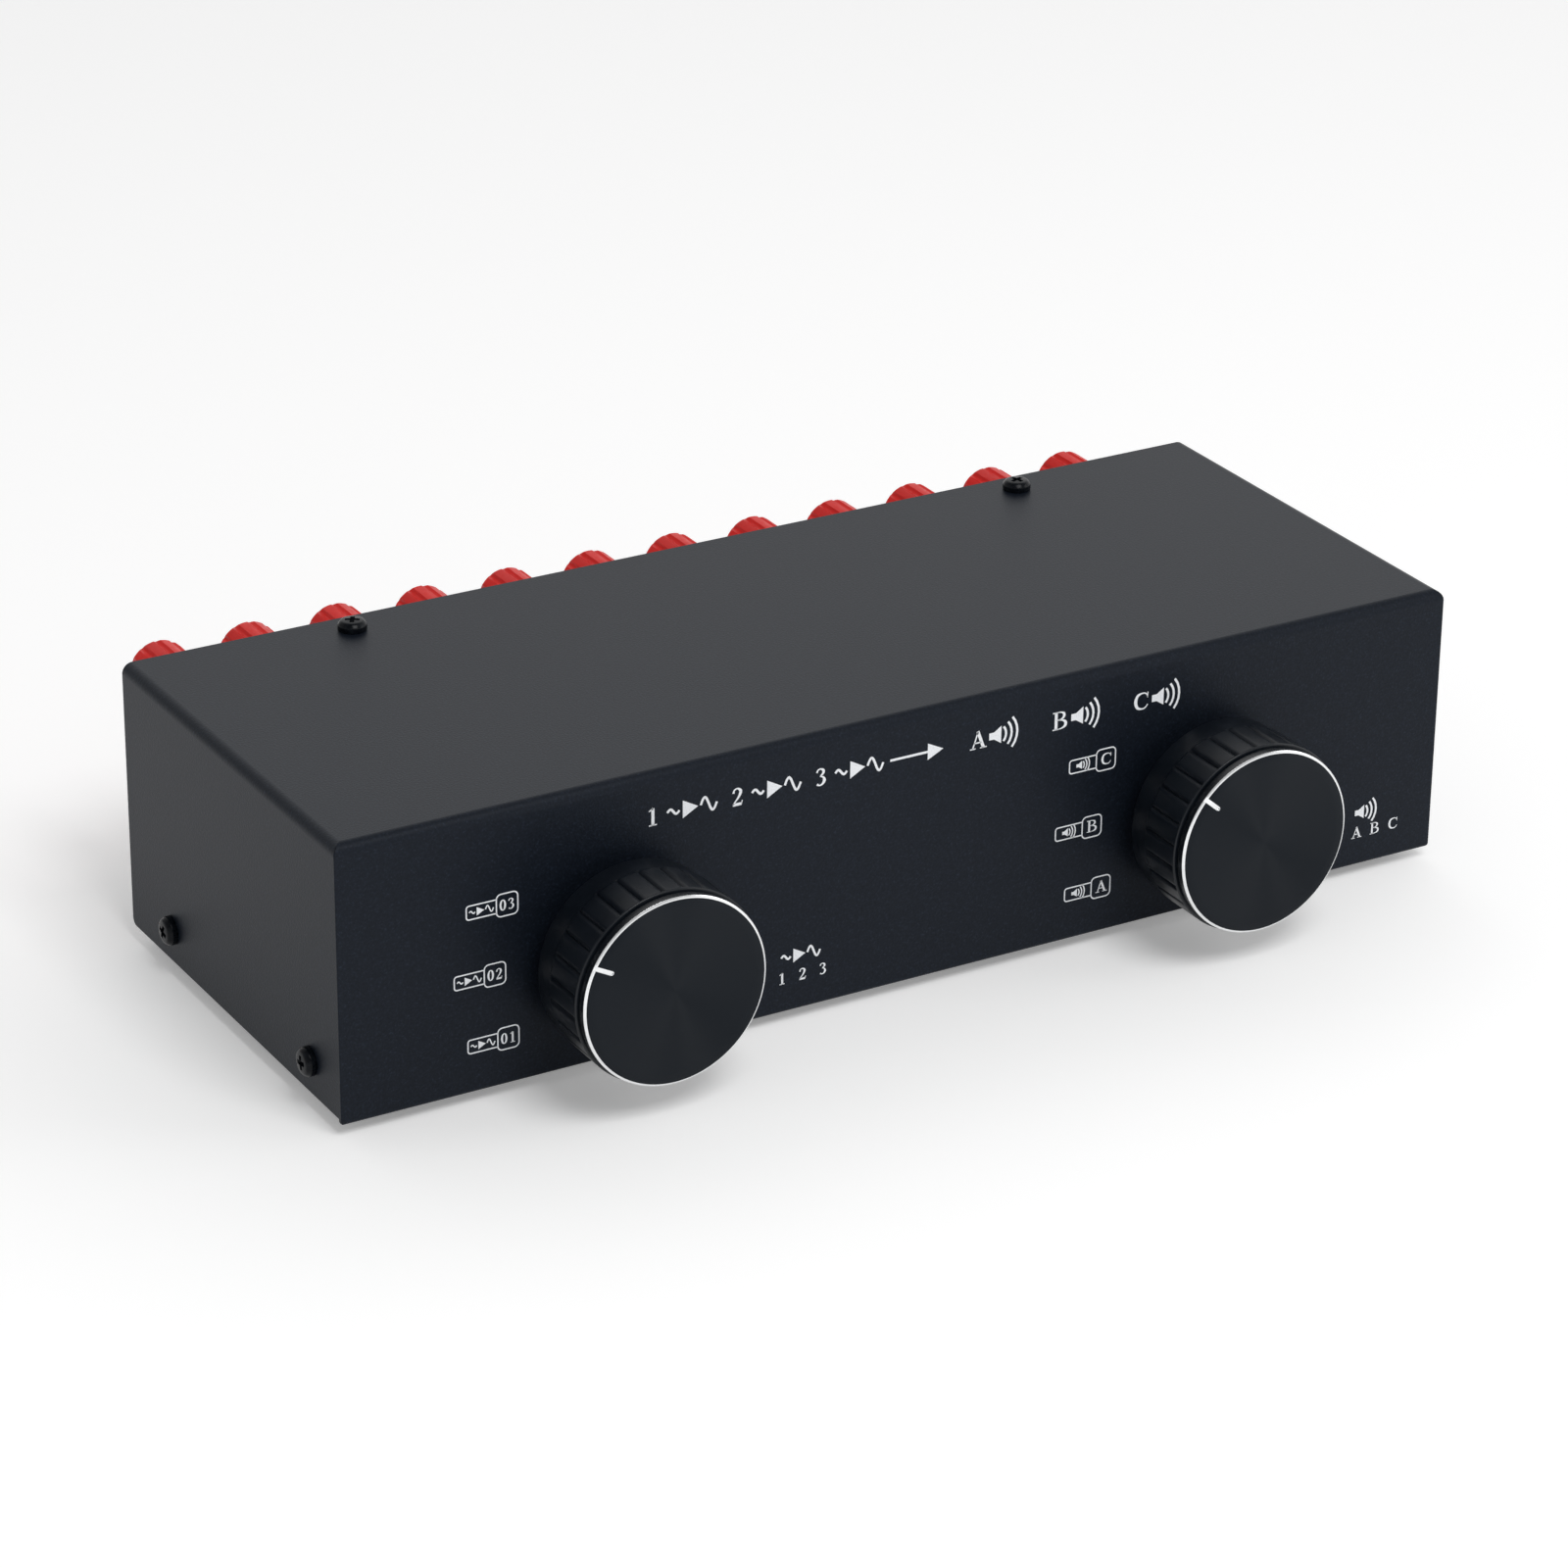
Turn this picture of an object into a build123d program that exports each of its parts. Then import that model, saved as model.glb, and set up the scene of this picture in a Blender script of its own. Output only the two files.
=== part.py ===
from build123d import *
import os
from math import cos, radians, sin

os.makedirs("parts", exist_ok=True)

# Speaker selector switch: a steel box with two rotary selectors on the front and
# two rows of binding posts on the rear. Millimetres, +X right, +Y rear, +Z up.
# The origin is on the floor, midway between the sides and midway between the
# knob faces and the ends of the post caps.

# ---------------------------------------------------------------- driving sizes
# Cabinet: a folded cover over a folded chassis
cabinet_width = 250.0
cabinet_depth = 95.0
cabinet_height = 57.8
cover_sheet = 1.0
cover_bend = 2.2
front_flap_corner = 0.8
side_flap_rise = 1.2
side_flap_corner = 1.5
seam_round = 0.25
chassis_sheet = 1.0
chassis_bend = 1.6
sheet_gap = 0.2
rear_panel_inset = 0.3
front_lip_height = 8.0
side_flange_height = 14.0
top_flange_depth = 12.0
corner_relief = 2.0

# Rubber feet
foot_height = 2.5
foot_radius = 6.0
foot_taper = 12.0
foot_inset = 14.0

# Cover screws, M3 pan head
screw_radius = 1.45
screw_hole_gap = 0.15
screw_length = 5.0
screw_head_radius = 2.95
screw_head_height = 2.2
screw_head_rim = 0.9
recess_span = 3.4
recess_width = 0.75
recess_depth = 1.3
top_screw_spacing = 156.0
top_screw_inset = 6.2
side_screw_height = 8.1
side_screw_front = 12.8
side_screw_rear = 19.4
screw_turns = (17.0, 52.0, 8.0, 71.0, 33.0, 60.0)

# Selectors: knob axis and the three switch positions
knob_spacing = 133.0
knob_axis_height = 24.2
selector_travel = 60.0
detent_step = 30.0
pointer_angles = {"amp": 152.3, "speaker": 139.2}

# Knob: a hollow fluted plastic body with an aluminium face
knob_reach = 23.2
knob_radius = 20.0
knob_standoff = 5.0
knob_wall = 2.2
knob_skirt_step = 0.4
knob_skirt_length = 5.1
knob_web = 2.3
knob_shoulder = 0.3
flute_count = 27
flute_depth = 0.62
flute_cutter_radius = 1.0
flute_length = 10.2
hub_radius = 5.5
hub_start = 6.0
hub_depth = 10.8
face_radius = 19.45
face_bevel = 0.5
face_rim_height = 1.5
face_neck_height = 0.5
face_neck_step = 0.6
face_spigot_depth = 1.0
face_spigot_radius = 18.5
pointer_length = 4.1
pointer_width = 0.9
pointer_depth = 0.25

# Rotary switch: local z runs forward from the front panel's outer face
shaft_radius = 3.0
shaft_end = 16.3
shaft_flange_radius = 4.2
shaft_flange_height = 0.8
shaft_spigot_radius = 2.4
shaft_spigot_end_wall = 1.0
spline_teeth = 18
spline_depth = 0.35
spline_length = 8.5
split_width = 0.8
running_gap = 0.04
assembly_gap = 0.05
bushing_radius = 4.5
bushing_hole_gap = 0.2
bushing_length = 5.5
housing_radius = 13.0
housing_wall = 1.3
housing_depth = 9.2
housing_plate = 2.5
key_pin_radius = 1.4
key_pin_circle_radius = 10.6
stop_ring_radius = 7.5
stop_ring_thickness = 0.5
stop_tab_circle_radius = 6.4
stop_tab_width = 1.6
stop_tab_thickness = 1.0
stop_tab_reach = 1.2
stop_angle = 270.0
stop_slack = 1.2
washer_radius = 7.4
washer_thickness = 0.6
washer_teeth = 12
switch_nut_flats = 12.0
switch_nut_height = 2.2
rotor_radius = 11.4
rotor_end_gap = 0.2
rotor_height = 5.8
rotor_pivot_radius = 2.0
rotor_pivot_length = 1.6
notch_radius = 1.3
notch_depth = 0.5
ball_radius = 1.2
ball_gap = 0.1
ball_pocket_gap = 0.1
pocket_boss_width = 5.6
pocket_wall = 1.0
spring_wire = 0.17
spring_length = 2.6
spring_coils = 4
wafer_thickness = 1.8
throw_circle_radius = 9.6
throw_count = 12
pole_count = 4
pole_circle_radius = 5.0
pole_pad_angle = 62.0
pole_pad_width = 1.8
contact_height = 0.2
contact_head_radius = 1.0
contact_pin_radius = 0.7
lug_length = 6.0
lug_width = 1.8
lug_thickness = 0.6
wiper_width = 2.0
wiper_thickness = 0.3
wiper_overhang = 0.9

# Binding posts: local z runs rearward from the rear panel's outer face
post_columns = 12
post_side_margin = 17.2
post_row_pitch = 19.6
red_row_height = 44.3
post_reach = 23.0
post_base_radius = 6.2
post_base_height = 4.0
post_neck_radius = 4.0
post_rod_radius = 2.5
post_collar_radius = 4.6
post_collar_height = 2.0
post_tube_radius = 3.0
post_tube_inset = 1.2
socket_radius = 2.05
socket_depth = 17.0
wire_hole_radius = 1.2
cap_radius = 6.5
cap_gap = 0.1
cap_mouth_radius = 2.7
cap_mouth_wall = 0.9
cap_collar = 2.4
cap_lobes = 12
cap_groove_radius = 0.8
cap_groove_depth = 0.4
cap_chamfer = 0.8
cap_turns = (29.0, 8.0, 0.0, 9.0, 29.0, 14.0, 22.0, 19.0, 9.0, 19.0, 29.0, 11.0)
post_washer_radius = 6.0
post_washer_thickness = 3.0
tag_thickness = 0.6
tag_ring_radius = 4.0
tag_tail_width = 3.2
tag_tail_reach = 10.3
post_nut_flats = 8.0
post_nut_height = 3.2
post_rod_end = 1.4

# Hook-up wire
wire_radius = 1.0
wire_tag_offset = 8.6
wire_tag_lead = 8.0
wire_lug_lead = 6.0
wire_bend = 7.0
link_lead = 5.0
link_bend = 3.0
link_lane_rise = (3.0, 6.6)
link_lane_depth = (26.0, 30.0)

# ---------------------------------------------------------------- derived places
front_y = (knob_reach - post_reach - cabinet_depth) / 2
rear_y = front_y + cabinet_depth
base_z = foot_height
top_z = base_z + cabinet_height
chassis_half = cabinet_width / 2 - cover_sheet - sheet_gap
lip_y = front_y + cover_sheet + sheet_gap
panel_y = rear_y - rear_panel_inset
flange_z = top_z - cover_sheet - sheet_gap
screw_hole_radius = screw_radius + screw_hole_gap
side_screw_z = base_z + side_screw_height
side_screw_ys = (front_y + side_screw_front, rear_y - side_screw_rear)
top_screw_y = rear_y - top_screw_inset
knob_z = base_z + knob_axis_height
knob_xs = {"amp": -knob_spacing / 2, "speaker": knob_spacing / 2}
red_z = base_z + red_row_height
black_z = red_z - post_row_pitch
post_pitch = (cabinet_width - 2 * post_side_margin) / (post_columns - 1)
post_xs = [(i - (post_columns - 1) / 2) * post_pitch for i in range(post_columns)]


def selector_plane(selector):
    """Plane on the front panel at a selector's axis, z towards the viewer."""
    return Plane(origin=(knob_xs[selector], front_y, knob_z), x_dir=(1, 0, 0), z_dir=(0, -1, 0))


def post_plane(x, z):
    """Plane on the rear panel at a post's axis, z out of the panel."""
    return Plane(origin=(x, panel_y, z), x_dir=(-1, 0, 0), z_dir=(0, 1, 0))


selector_planes = [selector_plane(selector) for selector in knob_xs]
red_planes = [post_plane(x, red_z) for x in post_xs]
black_planes = [post_plane(x, black_z) for x in post_xs]
post_planes = red_planes + black_planes

# ---------------------------------------------------------------- cover
# One folded sheet: top, front panel and two side flaps. The side flaps butt
# against the front panel's edges and end a little higher than it does.
with BuildPart() as cover_inside:
    inside_width = cabinet_width - 2 * cover_sheet
    inside_depth = cabinet_depth - cover_sheet
    with BuildSketch(Plane.XY.offset(base_z - cover_sheet)):
        with Locations((0, front_y + cover_sheet + inside_depth)):
            Rectangle(inside_width, 2 * inside_depth)
    extrude(amount=cabinet_height)
    roof_edges = cover_inside.faces().sort_by(Axis.Z)[-1].edges().sort_by(Axis.Y)[:-1]
    fillet(roof_edges, radius=cover_bend - cover_sheet)

with BuildPart() as cover:
    with BuildSketch(Plane.XY.offset(base_z)):
        with Locations((0, (front_y + rear_y) / 2)):
            Rectangle(cabinet_width, cabinet_depth)
    extrude(amount=cabinet_height)
    fillet(cover.faces().sort_by(Axis.Z)[-1].edges().sort_by(Axis.Y)[:-1], radius=cover_bend)
    front_uprights = cover.edges().filter_by(Axis.Z).group_by(Axis.Y)[0]
    fillet(front_uprights, radius=seam_round)
    add(cover_inside.part, mode=Mode.SUBTRACT)
    # the side flaps end above the lower edge of the front panel
    with BuildSketch(Plane.XY.offset(base_z)):
        with Locations((0, front_y + cover_sheet + cabinet_depth / 2)):
            Rectangle(cabinet_width, cabinet_depth)
    extrude(amount=side_flap_rise, mode=Mode.SUBTRACT)
    flap_corners = cover.edges().filter_by(Axis.X).group_by(Axis.Y)[-1].group_by(Axis.Z)[0]
    fillet(flap_corners, radius=side_flap_corner)
    front_corners = cover.edges().filter_by(Axis.Y).group_by(Axis.Z)[0].sort_by(Axis.X)
    fillet([front_corners[0], front_corners[-1]], radius=front_flap_corner)
    # holes for the switch bushings and their key pins
    with BuildSketch(*selector_planes):
        Circle(bushing_radius + bushing_hole_gap)
        with Locations((-key_pin_circle_radius, 0)):
            Circle(key_pin_radius + screw_hole_gap)
    extrude(amount=-cover_sheet, mode=Mode.SUBTRACT)
    # holes for the cover screws
    with BuildSketch(Plane.XY.offset(top_z)):
        with Locations((-top_screw_spacing / 2, top_screw_y), (top_screw_spacing / 2, top_screw_y)):
            Circle(screw_hole_radius)
    extrude(amount=-cover_sheet, mode=Mode.SUBTRACT)
    with BuildSketch(Plane.YZ.offset(-cabinet_width / 2)):
        with Locations(*[(y, side_screw_z) for y in side_screw_ys]):
            Circle(screw_hole_radius)
    extrude(amount=cabinet_width, mode=Mode.SUBTRACT)

cover.part.label = "cover"
export_step(cover.part, "parts/cover.step")

# ---------------------------------------------------------------- chassis
# One folded sheet: front lip, bottom, rear panel and the flange under the
# cover's top, with a low flange along each side for the cover screws.
with BuildPart() as chassis:
    with BuildSketch(Plane.YZ):
        with BuildLine():
            FilletPolyline(
                (lip_y, base_z + front_lip_height),
                (lip_y, base_z),
                (panel_y, base_z),
                (panel_y, flange_z),
                (panel_y - top_flange_depth, flange_z),
                radius=chassis_bend,
            )
            offset(amount=chassis_sheet, side=Side.LEFT)
        make_face()
    extrude(amount=chassis_half, both=True)
    # relief along both sides of the bottom, filled by the side flanges
    flange_start = lip_y + chassis_bend
    flange_end = panel_y - chassis_bend
    with BuildSketch(Plane.XY.offset(base_z)):
        for side in (-1, 1):
            with Locations((side * (chassis_half - chassis_bend / 2), (flange_start + flange_end) / 2)):
                Rectangle(chassis_bend, flange_end - flange_start)
    extrude(amount=chassis_sheet, mode=Mode.SUBTRACT)
    with BuildSketch(Plane.XZ.offset(corner_relief - flange_end)):
        with BuildLine():
            FilletPolyline(
                (-chassis_half, base_z + side_flange_height),
                (-chassis_half, base_z),
                (chassis_half, base_z),
                (chassis_half, base_z + side_flange_height),
                radius=chassis_bend,
            )
            offset(amount=chassis_sheet, side=Side.LEFT)
        make_face()
    extrude(amount=flange_end - flange_start - 2 * corner_relief)
    # the upper corners follow the bend of the cover around them
    with BuildSketch(Plane.XZ.offset(-panel_y)):
        with BuildLine():
            FilletPolyline(
                (-chassis_half, base_z),
                (-chassis_half, flange_z),
                (chassis_half, flange_z),
                (chassis_half, base_z),
                radius=cover_bend - cover_sheet,
            )
            Line((chassis_half, base_z), (-chassis_half, base_z))
        make_face()
    extrude(amount=panel_y - lip_y, mode=Mode.INTERSECT)
    # tapped holes for the cover screws
    with BuildSketch(Plane.YZ.offset(-chassis_half)):
        with Locations(*[(y, side_screw_z) for y in side_screw_ys]):
            Circle(screw_hole_radius)
    extrude(amount=2 * chassis_half, mode=Mode.SUBTRACT)
    with BuildSketch(Plane.XY.offset(flange_z)):
        with Locations((-top_screw_spacing / 2, top_screw_y), (top_screw_spacing / 2, top_screw_y)):
            Circle(screw_hole_radius)
    extrude(amount=-chassis_sheet, mode=Mode.SUBTRACT)
    # holes for the binding posts
    with BuildSketch(*post_planes):
        Circle(post_neck_radius + assembly_gap)
    extrude(amount=-chassis_sheet, mode=Mode.SUBTRACT)

chassis.part.label = "chassis"
export_step(chassis.part, "parts/chassis.step")

# ---------------------------------------------------------------- feet
# Tapered rubber feet stuck under the chassis near its corners.
foot_x = cabinet_width / 2 - foot_inset
for name, foot_y in (("front_feet", front_y + foot_inset), ("rear_feet", rear_y - foot_inset)):
    with BuildPart() as feet:
        with BuildSketch(Plane.XY.offset(base_z)):
            with Locations((-foot_x, foot_y), (foot_x, foot_y)):
                Circle(foot_radius)
        extrude(amount=-foot_height, taper=foot_taper)
    feet.part.label = name
    export_step(feet.part, f"parts/{name}.step")

# ---------------------------------------------------------------- cover screws
# M3 pan heads with a cross recess: two through the top, two through each side.
with BuildPart() as screw:
    with BuildSketch(Plane.XZ):
        with BuildLine():
            Polyline(
                (0, screw_head_height),
                (0, -screw_length),
                (screw_radius, -screw_length),
                (screw_radius, 0),
                (screw_head_radius, 0),
                (screw_head_radius, screw_head_rim),
            )
            dome_height = screw_head_height - screw_head_rim
            EllipticalCenterArc((0, screw_head_rim), screw_head_radius, dome_height)
        make_face()
    revolve(axis=Axis.Z)
    with BuildSketch(Plane.XY.offset(screw_head_height)):
        Rectangle(recess_span, recess_width)
        Rectangle(recess_width, recess_span)
    extrude(amount=-recess_depth, mode=Mode.SUBTRACT)

screw_planes = []
for side in (-1, 1):
    screw_planes.append(Plane(origin=(side * top_screw_spacing / 2, top_screw_y, top_z), z_dir=(0, 0, 1)))
    for y in side_screw_ys:
        screw_planes.append(Plane(origin=(side * cabinet_width / 2, y, side_screw_z), z_dir=(side, 0, 0)))

with BuildPart() as cover_screws:
    for plane, turn in zip(screw_planes, screw_turns):
        with Locations(plane):
            add(screw.part, rotation=(0, 0, turn))

cover_screws.part.label = "cover_screws"
export_step(cover_screws.part, "parts/cover_screws.step")

# ---------------------------------------------------------------- knob
# The body is a hollow moulding: a plain skirt, flutes, a rounded front shoulder
# and a hub inside. The aluminium face sits in a recess in its front.
body_front = knob_reach - face_bevel - face_rim_height - face_neck_height
recess_floor = body_front - face_spigot_depth
skirt_radius = knob_radius - knob_skirt_step
skirt_end = knob_standoff + knob_skirt_length
cavity_radius = skirt_radius - knob_wall
cavity_end = recess_floor - knob_web

with BuildPart() as knob_body:
    with BuildSketch(Plane.XZ):
        with BuildLine():
            Polyline(
                (0, recess_floor),
                (face_spigot_radius + assembly_gap, recess_floor),
                (face_spigot_radius + assembly_gap, body_front),
                (knob_radius, body_front),
                (knob_radius, skirt_end + knob_skirt_step),
                (skirt_radius, skirt_end),
                (skirt_radius, knob_standoff),
                (cavity_radius, knob_standoff),
                (cavity_radius, cavity_end),
                (hub_radius, cavity_end),
                (hub_radius, hub_start),
                (0, hub_start),
                close=True,
            )
        make_face()
    revolve(axis=Axis.Z)
    rim_edges = knob_body.edges().filter_by(GeomType.CIRCLE).group_by(Axis.Z)[-1]
    fillet(rim_edges.sort_by(SortBy.RADIUS)[-1], radius=knob_shoulder)
    with BuildSketch(Plane.XY.offset(hub_start)):
        Circle(shaft_radius + assembly_gap)
    extrude(amount=hub_depth, mode=Mode.SUBTRACT)
    # V grooves between the flutes
    with BuildSketch(Plane.XY.offset(skirt_end)):
        with PolarLocations(knob_radius + flute_cutter_radius - flute_depth, flute_count):
            RegularPolygon(flute_cutter_radius, 4)
    extrude(amount=flute_length, mode=Mode.SUBTRACT)

with BuildPart() as knob_face_blank:
    with BuildSketch(Plane.XZ):
        with BuildLine():
            neck_radius = face_radius - face_neck_step
            rim_start = body_front + face_neck_height
            Polyline(
                (0, recess_floor),
                (face_spigot_radius, recess_floor),
                (face_spigot_radius, body_front + assembly_gap),
                (neck_radius, body_front + assembly_gap),
                (neck_radius, rim_start),
                (face_radius, rim_start),
                (face_radius, knob_reach - face_bevel),
                (face_radius - face_bevel, knob_reach),
                (0, knob_reach),
                close=True,
            )
        make_face()
    revolve(axis=Axis.Z)

# ---------------------------------------------------------------- rotary switch
# Sizes along the switch, as local z from the front panel's outer face.
mount_z = -cover_sheet
plate_back = mount_z - housing_plate
housing_back = mount_z - housing_depth
rotor_front = plate_back - rotor_end_gap
rotor_back = rotor_front - rotor_height
wafer_back = housing_back - wafer_thickness
lug_end = wafer_back - lug_length
flange_front = plate_back - assembly_gap
flange_back = flange_front - shaft_flange_height
spigot_end = rotor_back + shaft_spigot_end_wall
stop_tab_end = rotor_front - stop_tab_reach
pocket_z = (rotor_front + rotor_back) / 2
ball_center = rotor_radius + ball_gap + ball_radius
spring_start = ball_center + ball_radius + assembly_gap
pocket_end = spring_start + spring_length + assembly_gap
boss_top = pocket_end + pocket_wall
pole_angles = [360 / pole_count * (k + 0.5) for k in range(pole_count)]
wiper_angles = [angle - detent_step for angle in pole_angles]
throw_angles = [360 / throw_count * (k + 0.5) for k in range(throw_count)]
bushing_bore = shaft_radius + running_gap


def on_circle(radius, angle):
    """Point at an angle on a circle about the local origin."""
    return (radius * cos(radians(angle)), radius * sin(radians(angle)))


# Splined shaft, split at its front end, with a flange that keeps it in.
with BuildPart() as shaft_blank:
    with BuildSketch(Plane.XZ):
        with BuildLine():
            Polyline(
                (0, shaft_end),
                (shaft_radius - spline_depth, shaft_end),
                (shaft_radius, shaft_end - spline_depth),
                (shaft_radius, flange_front),
                (shaft_flange_radius, flange_front),
                (shaft_flange_radius, flange_back),
                (shaft_spigot_radius, flange_back),
                (shaft_spigot_radius, spigot_end),
                (0, spigot_end),
                close=True,
            )
        make_face()
    revolve(axis=Axis.Z)
    with BuildSketch(Plane.XY.offset(shaft_end)):
        with PolarLocations(shaft_radius, spline_teeth, start_angle=180 / spline_teeth):
            Circle(spline_depth)
        Rectangle(split_width, 2.5 * shaft_radius)
    extrude(amount=-spline_length, mode=Mode.SUBTRACT)

# Housing: die-cast plate with the threaded bushing, key pin and cup, and a
# boss on the cup that holds the detent ball and its spring.
with BuildPart() as housing_blank:
    with BuildSketch(Plane.XY.offset(mount_z)):
        Circle(housing_radius)
    extrude(amount=-housing_depth)
    with BuildSketch(Plane.XY.offset(plate_back)):
        with Locations((0, boss_top / 2)):
            Rectangle(pocket_boss_width, boss_top)
    extrude(amount=rotor_back - plate_back)
    with BuildSketch(Plane.XY.offset(plate_back)):
        Circle(housing_radius - housing_wall)
    extrude(amount=housing_back - plate_back, mode=Mode.SUBTRACT)
    with BuildSketch(Plane.XY.offset(mount_z)):
        Circle(bushing_radius)
    extrude(amount=bushing_length - mount_z)
    with BuildSketch(Plane.XY.offset(mount_z)):
        with Locations((-key_pin_circle_radius, 0)):
            Circle(key_pin_radius)
    extrude(amount=cover_sheet)
    with BuildSketch(Plane.XY.offset(bushing_length)):
        Circle(bushing_bore)
    extrude(amount=plate_back - bushing_length, mode=Mode.SUBTRACT)
    # recess for the stop ring and the slot for its tab
    with BuildSketch(Plane.XY.offset(mount_z)):
        Circle(stop_ring_radius + sheet_gap)
        Circle(bushing_radius, mode=Mode.SUBTRACT)
    extrude(amount=-stop_ring_thickness, mode=Mode.SUBTRACT)
    with BuildSketch(Plane.XY.offset(mount_z)):
        with PolarLocations(stop_tab_circle_radius, 1, start_angle=stop_angle):
            Rectangle(stop_tab_thickness + sheet_gap, stop_tab_width + sheet_gap)
    extrude(amount=-housing_plate, mode=Mode.SUBTRACT)
    # radial pocket for the detent ball and spring
    with BuildSketch(Plane(origin=(0, rotor_radius, pocket_z), x_dir=(1, 0, 0), z_dir=(0, 1, 0))):
        Circle(ball_radius + ball_pocket_gap)
    extrude(amount=pocket_end - rotor_radius, mode=Mode.SUBTRACT)

# Stop ring: its tab reaches through the plate into the rotor's groove.
with BuildPart() as stop_ring:
    with BuildSketch(Plane.XY.offset(mount_z)):
        Circle(stop_ring_radius)
        Circle(bushing_radius + assembly_gap, mode=Mode.SUBTRACT)
    extrude(amount=-stop_ring_thickness)
    with BuildSketch(Plane.XY.offset(mount_z)):
        with PolarLocations(stop_tab_circle_radius, 1, start_angle=stop_angle):
            Rectangle(stop_tab_thickness, stop_tab_width)
    extrude(amount=stop_tab_end - mount_z)

# Rotor: moulded disc with detent notches round its rim, a groove that the stop
# tab runs in, a seat for the shaft's flange and a pivot in the wafer.
half_tab = 57.3 * stop_tab_width / 2 / stop_tab_circle_radius
groove_start = stop_angle - selector_travel - half_tab - stop_slack
groove_angle = selector_travel + 2 * (half_tab + stop_slack)
groove_outer = stop_tab_circle_radius + stop_tab_thickness
groove_inner = stop_tab_circle_radius - stop_tab_thickness
with BuildPart() as rotor_blank:
    with BuildSketch(Plane.XY.offset(rotor_front)):
        Circle(rotor_radius)
        with PolarLocations(rotor_radius + notch_radius - notch_depth, round(360 / detent_step)):
            Circle(notch_radius, mode=Mode.SUBTRACT)
    extrude(amount=-rotor_height)
    with BuildSketch(Plane.XY.offset(rotor_back)):
        Circle(rotor_pivot_radius)
    extrude(amount=-rotor_pivot_length)
    with BuildSketch(Plane.XY.offset(rotor_front)):
        Circle(shaft_flange_radius + assembly_gap)
    extrude(amount=flange_back - rotor_front - assembly_gap, mode=Mode.SUBTRACT)
    with BuildSketch(Plane.XY.offset(rotor_front)):
        Circle(shaft_spigot_radius + assembly_gap)
    extrude(amount=spigot_end - rotor_front - assembly_gap, mode=Mode.SUBTRACT)
    with BuildSketch(Plane.XY.offset(rotor_front)):
        with BuildLine():
            outer_arc = CenterArc((0, 0), groove_outer, groove_start, groove_angle)
            inner_arc = CenterArc((0, 0), groove_inner, groove_start, groove_angle)
            Line(outer_arc @ 0, inner_arc @ 0)
            Line(outer_arc @ 1, inner_arc @ 1)
        make_face()
    extrude(amount=-stop_tab_reach - rotor_end_gap, mode=Mode.SUBTRACT)

# Wipers: four spring blades on the rotor's back, one for each pole.
wiper_start = pole_circle_radius - wiper_overhang
wiper_end = throw_circle_radius + wiper_overhang
with BuildPart() as wipers_blank:
    with BuildSketch(Plane.XY.offset(rotor_back)):
        for angle in wiper_angles:
            with PolarLocations((wiper_start + wiper_end) / 2, 1, start_angle=angle):
                SlotOverall(wiper_end - wiper_start, wiper_width)
    extrude(amount=-wiper_thickness)

# Wafer: phenolic disc that closes the housing and carries the contacts.
with BuildPart() as wafer_blank:
    with BuildSketch(Plane.XY.offset(housing_back)):
        Circle(housing_radius)
        Circle(rotor_pivot_radius + assembly_gap, mode=Mode.SUBTRACT)
        with Locations(*[on_circle(throw_circle_radius, angle) for angle in throw_angles]):
            Circle(contact_pin_radius + assembly_gap, mode=Mode.SUBTRACT)
        with Locations(*[on_circle(pole_circle_radius, angle) for angle in pole_angles]):
            Circle(contact_pin_radius + assembly_gap, mode=Mode.SUBTRACT)
    extrude(amount=-wafer_thickness)

# Terminals: twelve throw contacts on the outer ring and four pole pads inside,
# each with a pin through the wafer and a solder lug behind it.
with BuildPart() as terminals_blank:
    with BuildSketch(Plane.XY.offset(housing_back)):
        with Locations(*[on_circle(throw_circle_radius, angle) for angle in throw_angles]):
            Circle(contact_head_radius)
        for angle in pole_angles:
            pad_start = angle - pole_pad_angle / 2
            SlotArc(CenterArc((0, 0), pole_circle_radius, pad_start, pole_pad_angle), pole_pad_width)
    extrude(amount=contact_height)
    with BuildSketch(Plane.XY.offset(housing_back)):
        with Locations(*[on_circle(throw_circle_radius, angle) for angle in throw_angles]):
            Circle(contact_pin_radius)
        with Locations(*[on_circle(pole_circle_radius, angle) for angle in pole_angles]):
            Circle(contact_pin_radius)
    extrude(amount=-wafer_thickness)
    with BuildSketch(Plane.XY.offset(wafer_back)):
        for angle in throw_angles:
            with PolarLocations(throw_circle_radius, 1, start_angle=angle):
                Rectangle(lug_thickness, lug_width)
        for angle in pole_angles:
            with PolarLocations(pole_circle_radius, 1, start_angle=angle):
                Rectangle(lug_thickness, lug_width)
    extrude(amount=-lug_length)

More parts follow.
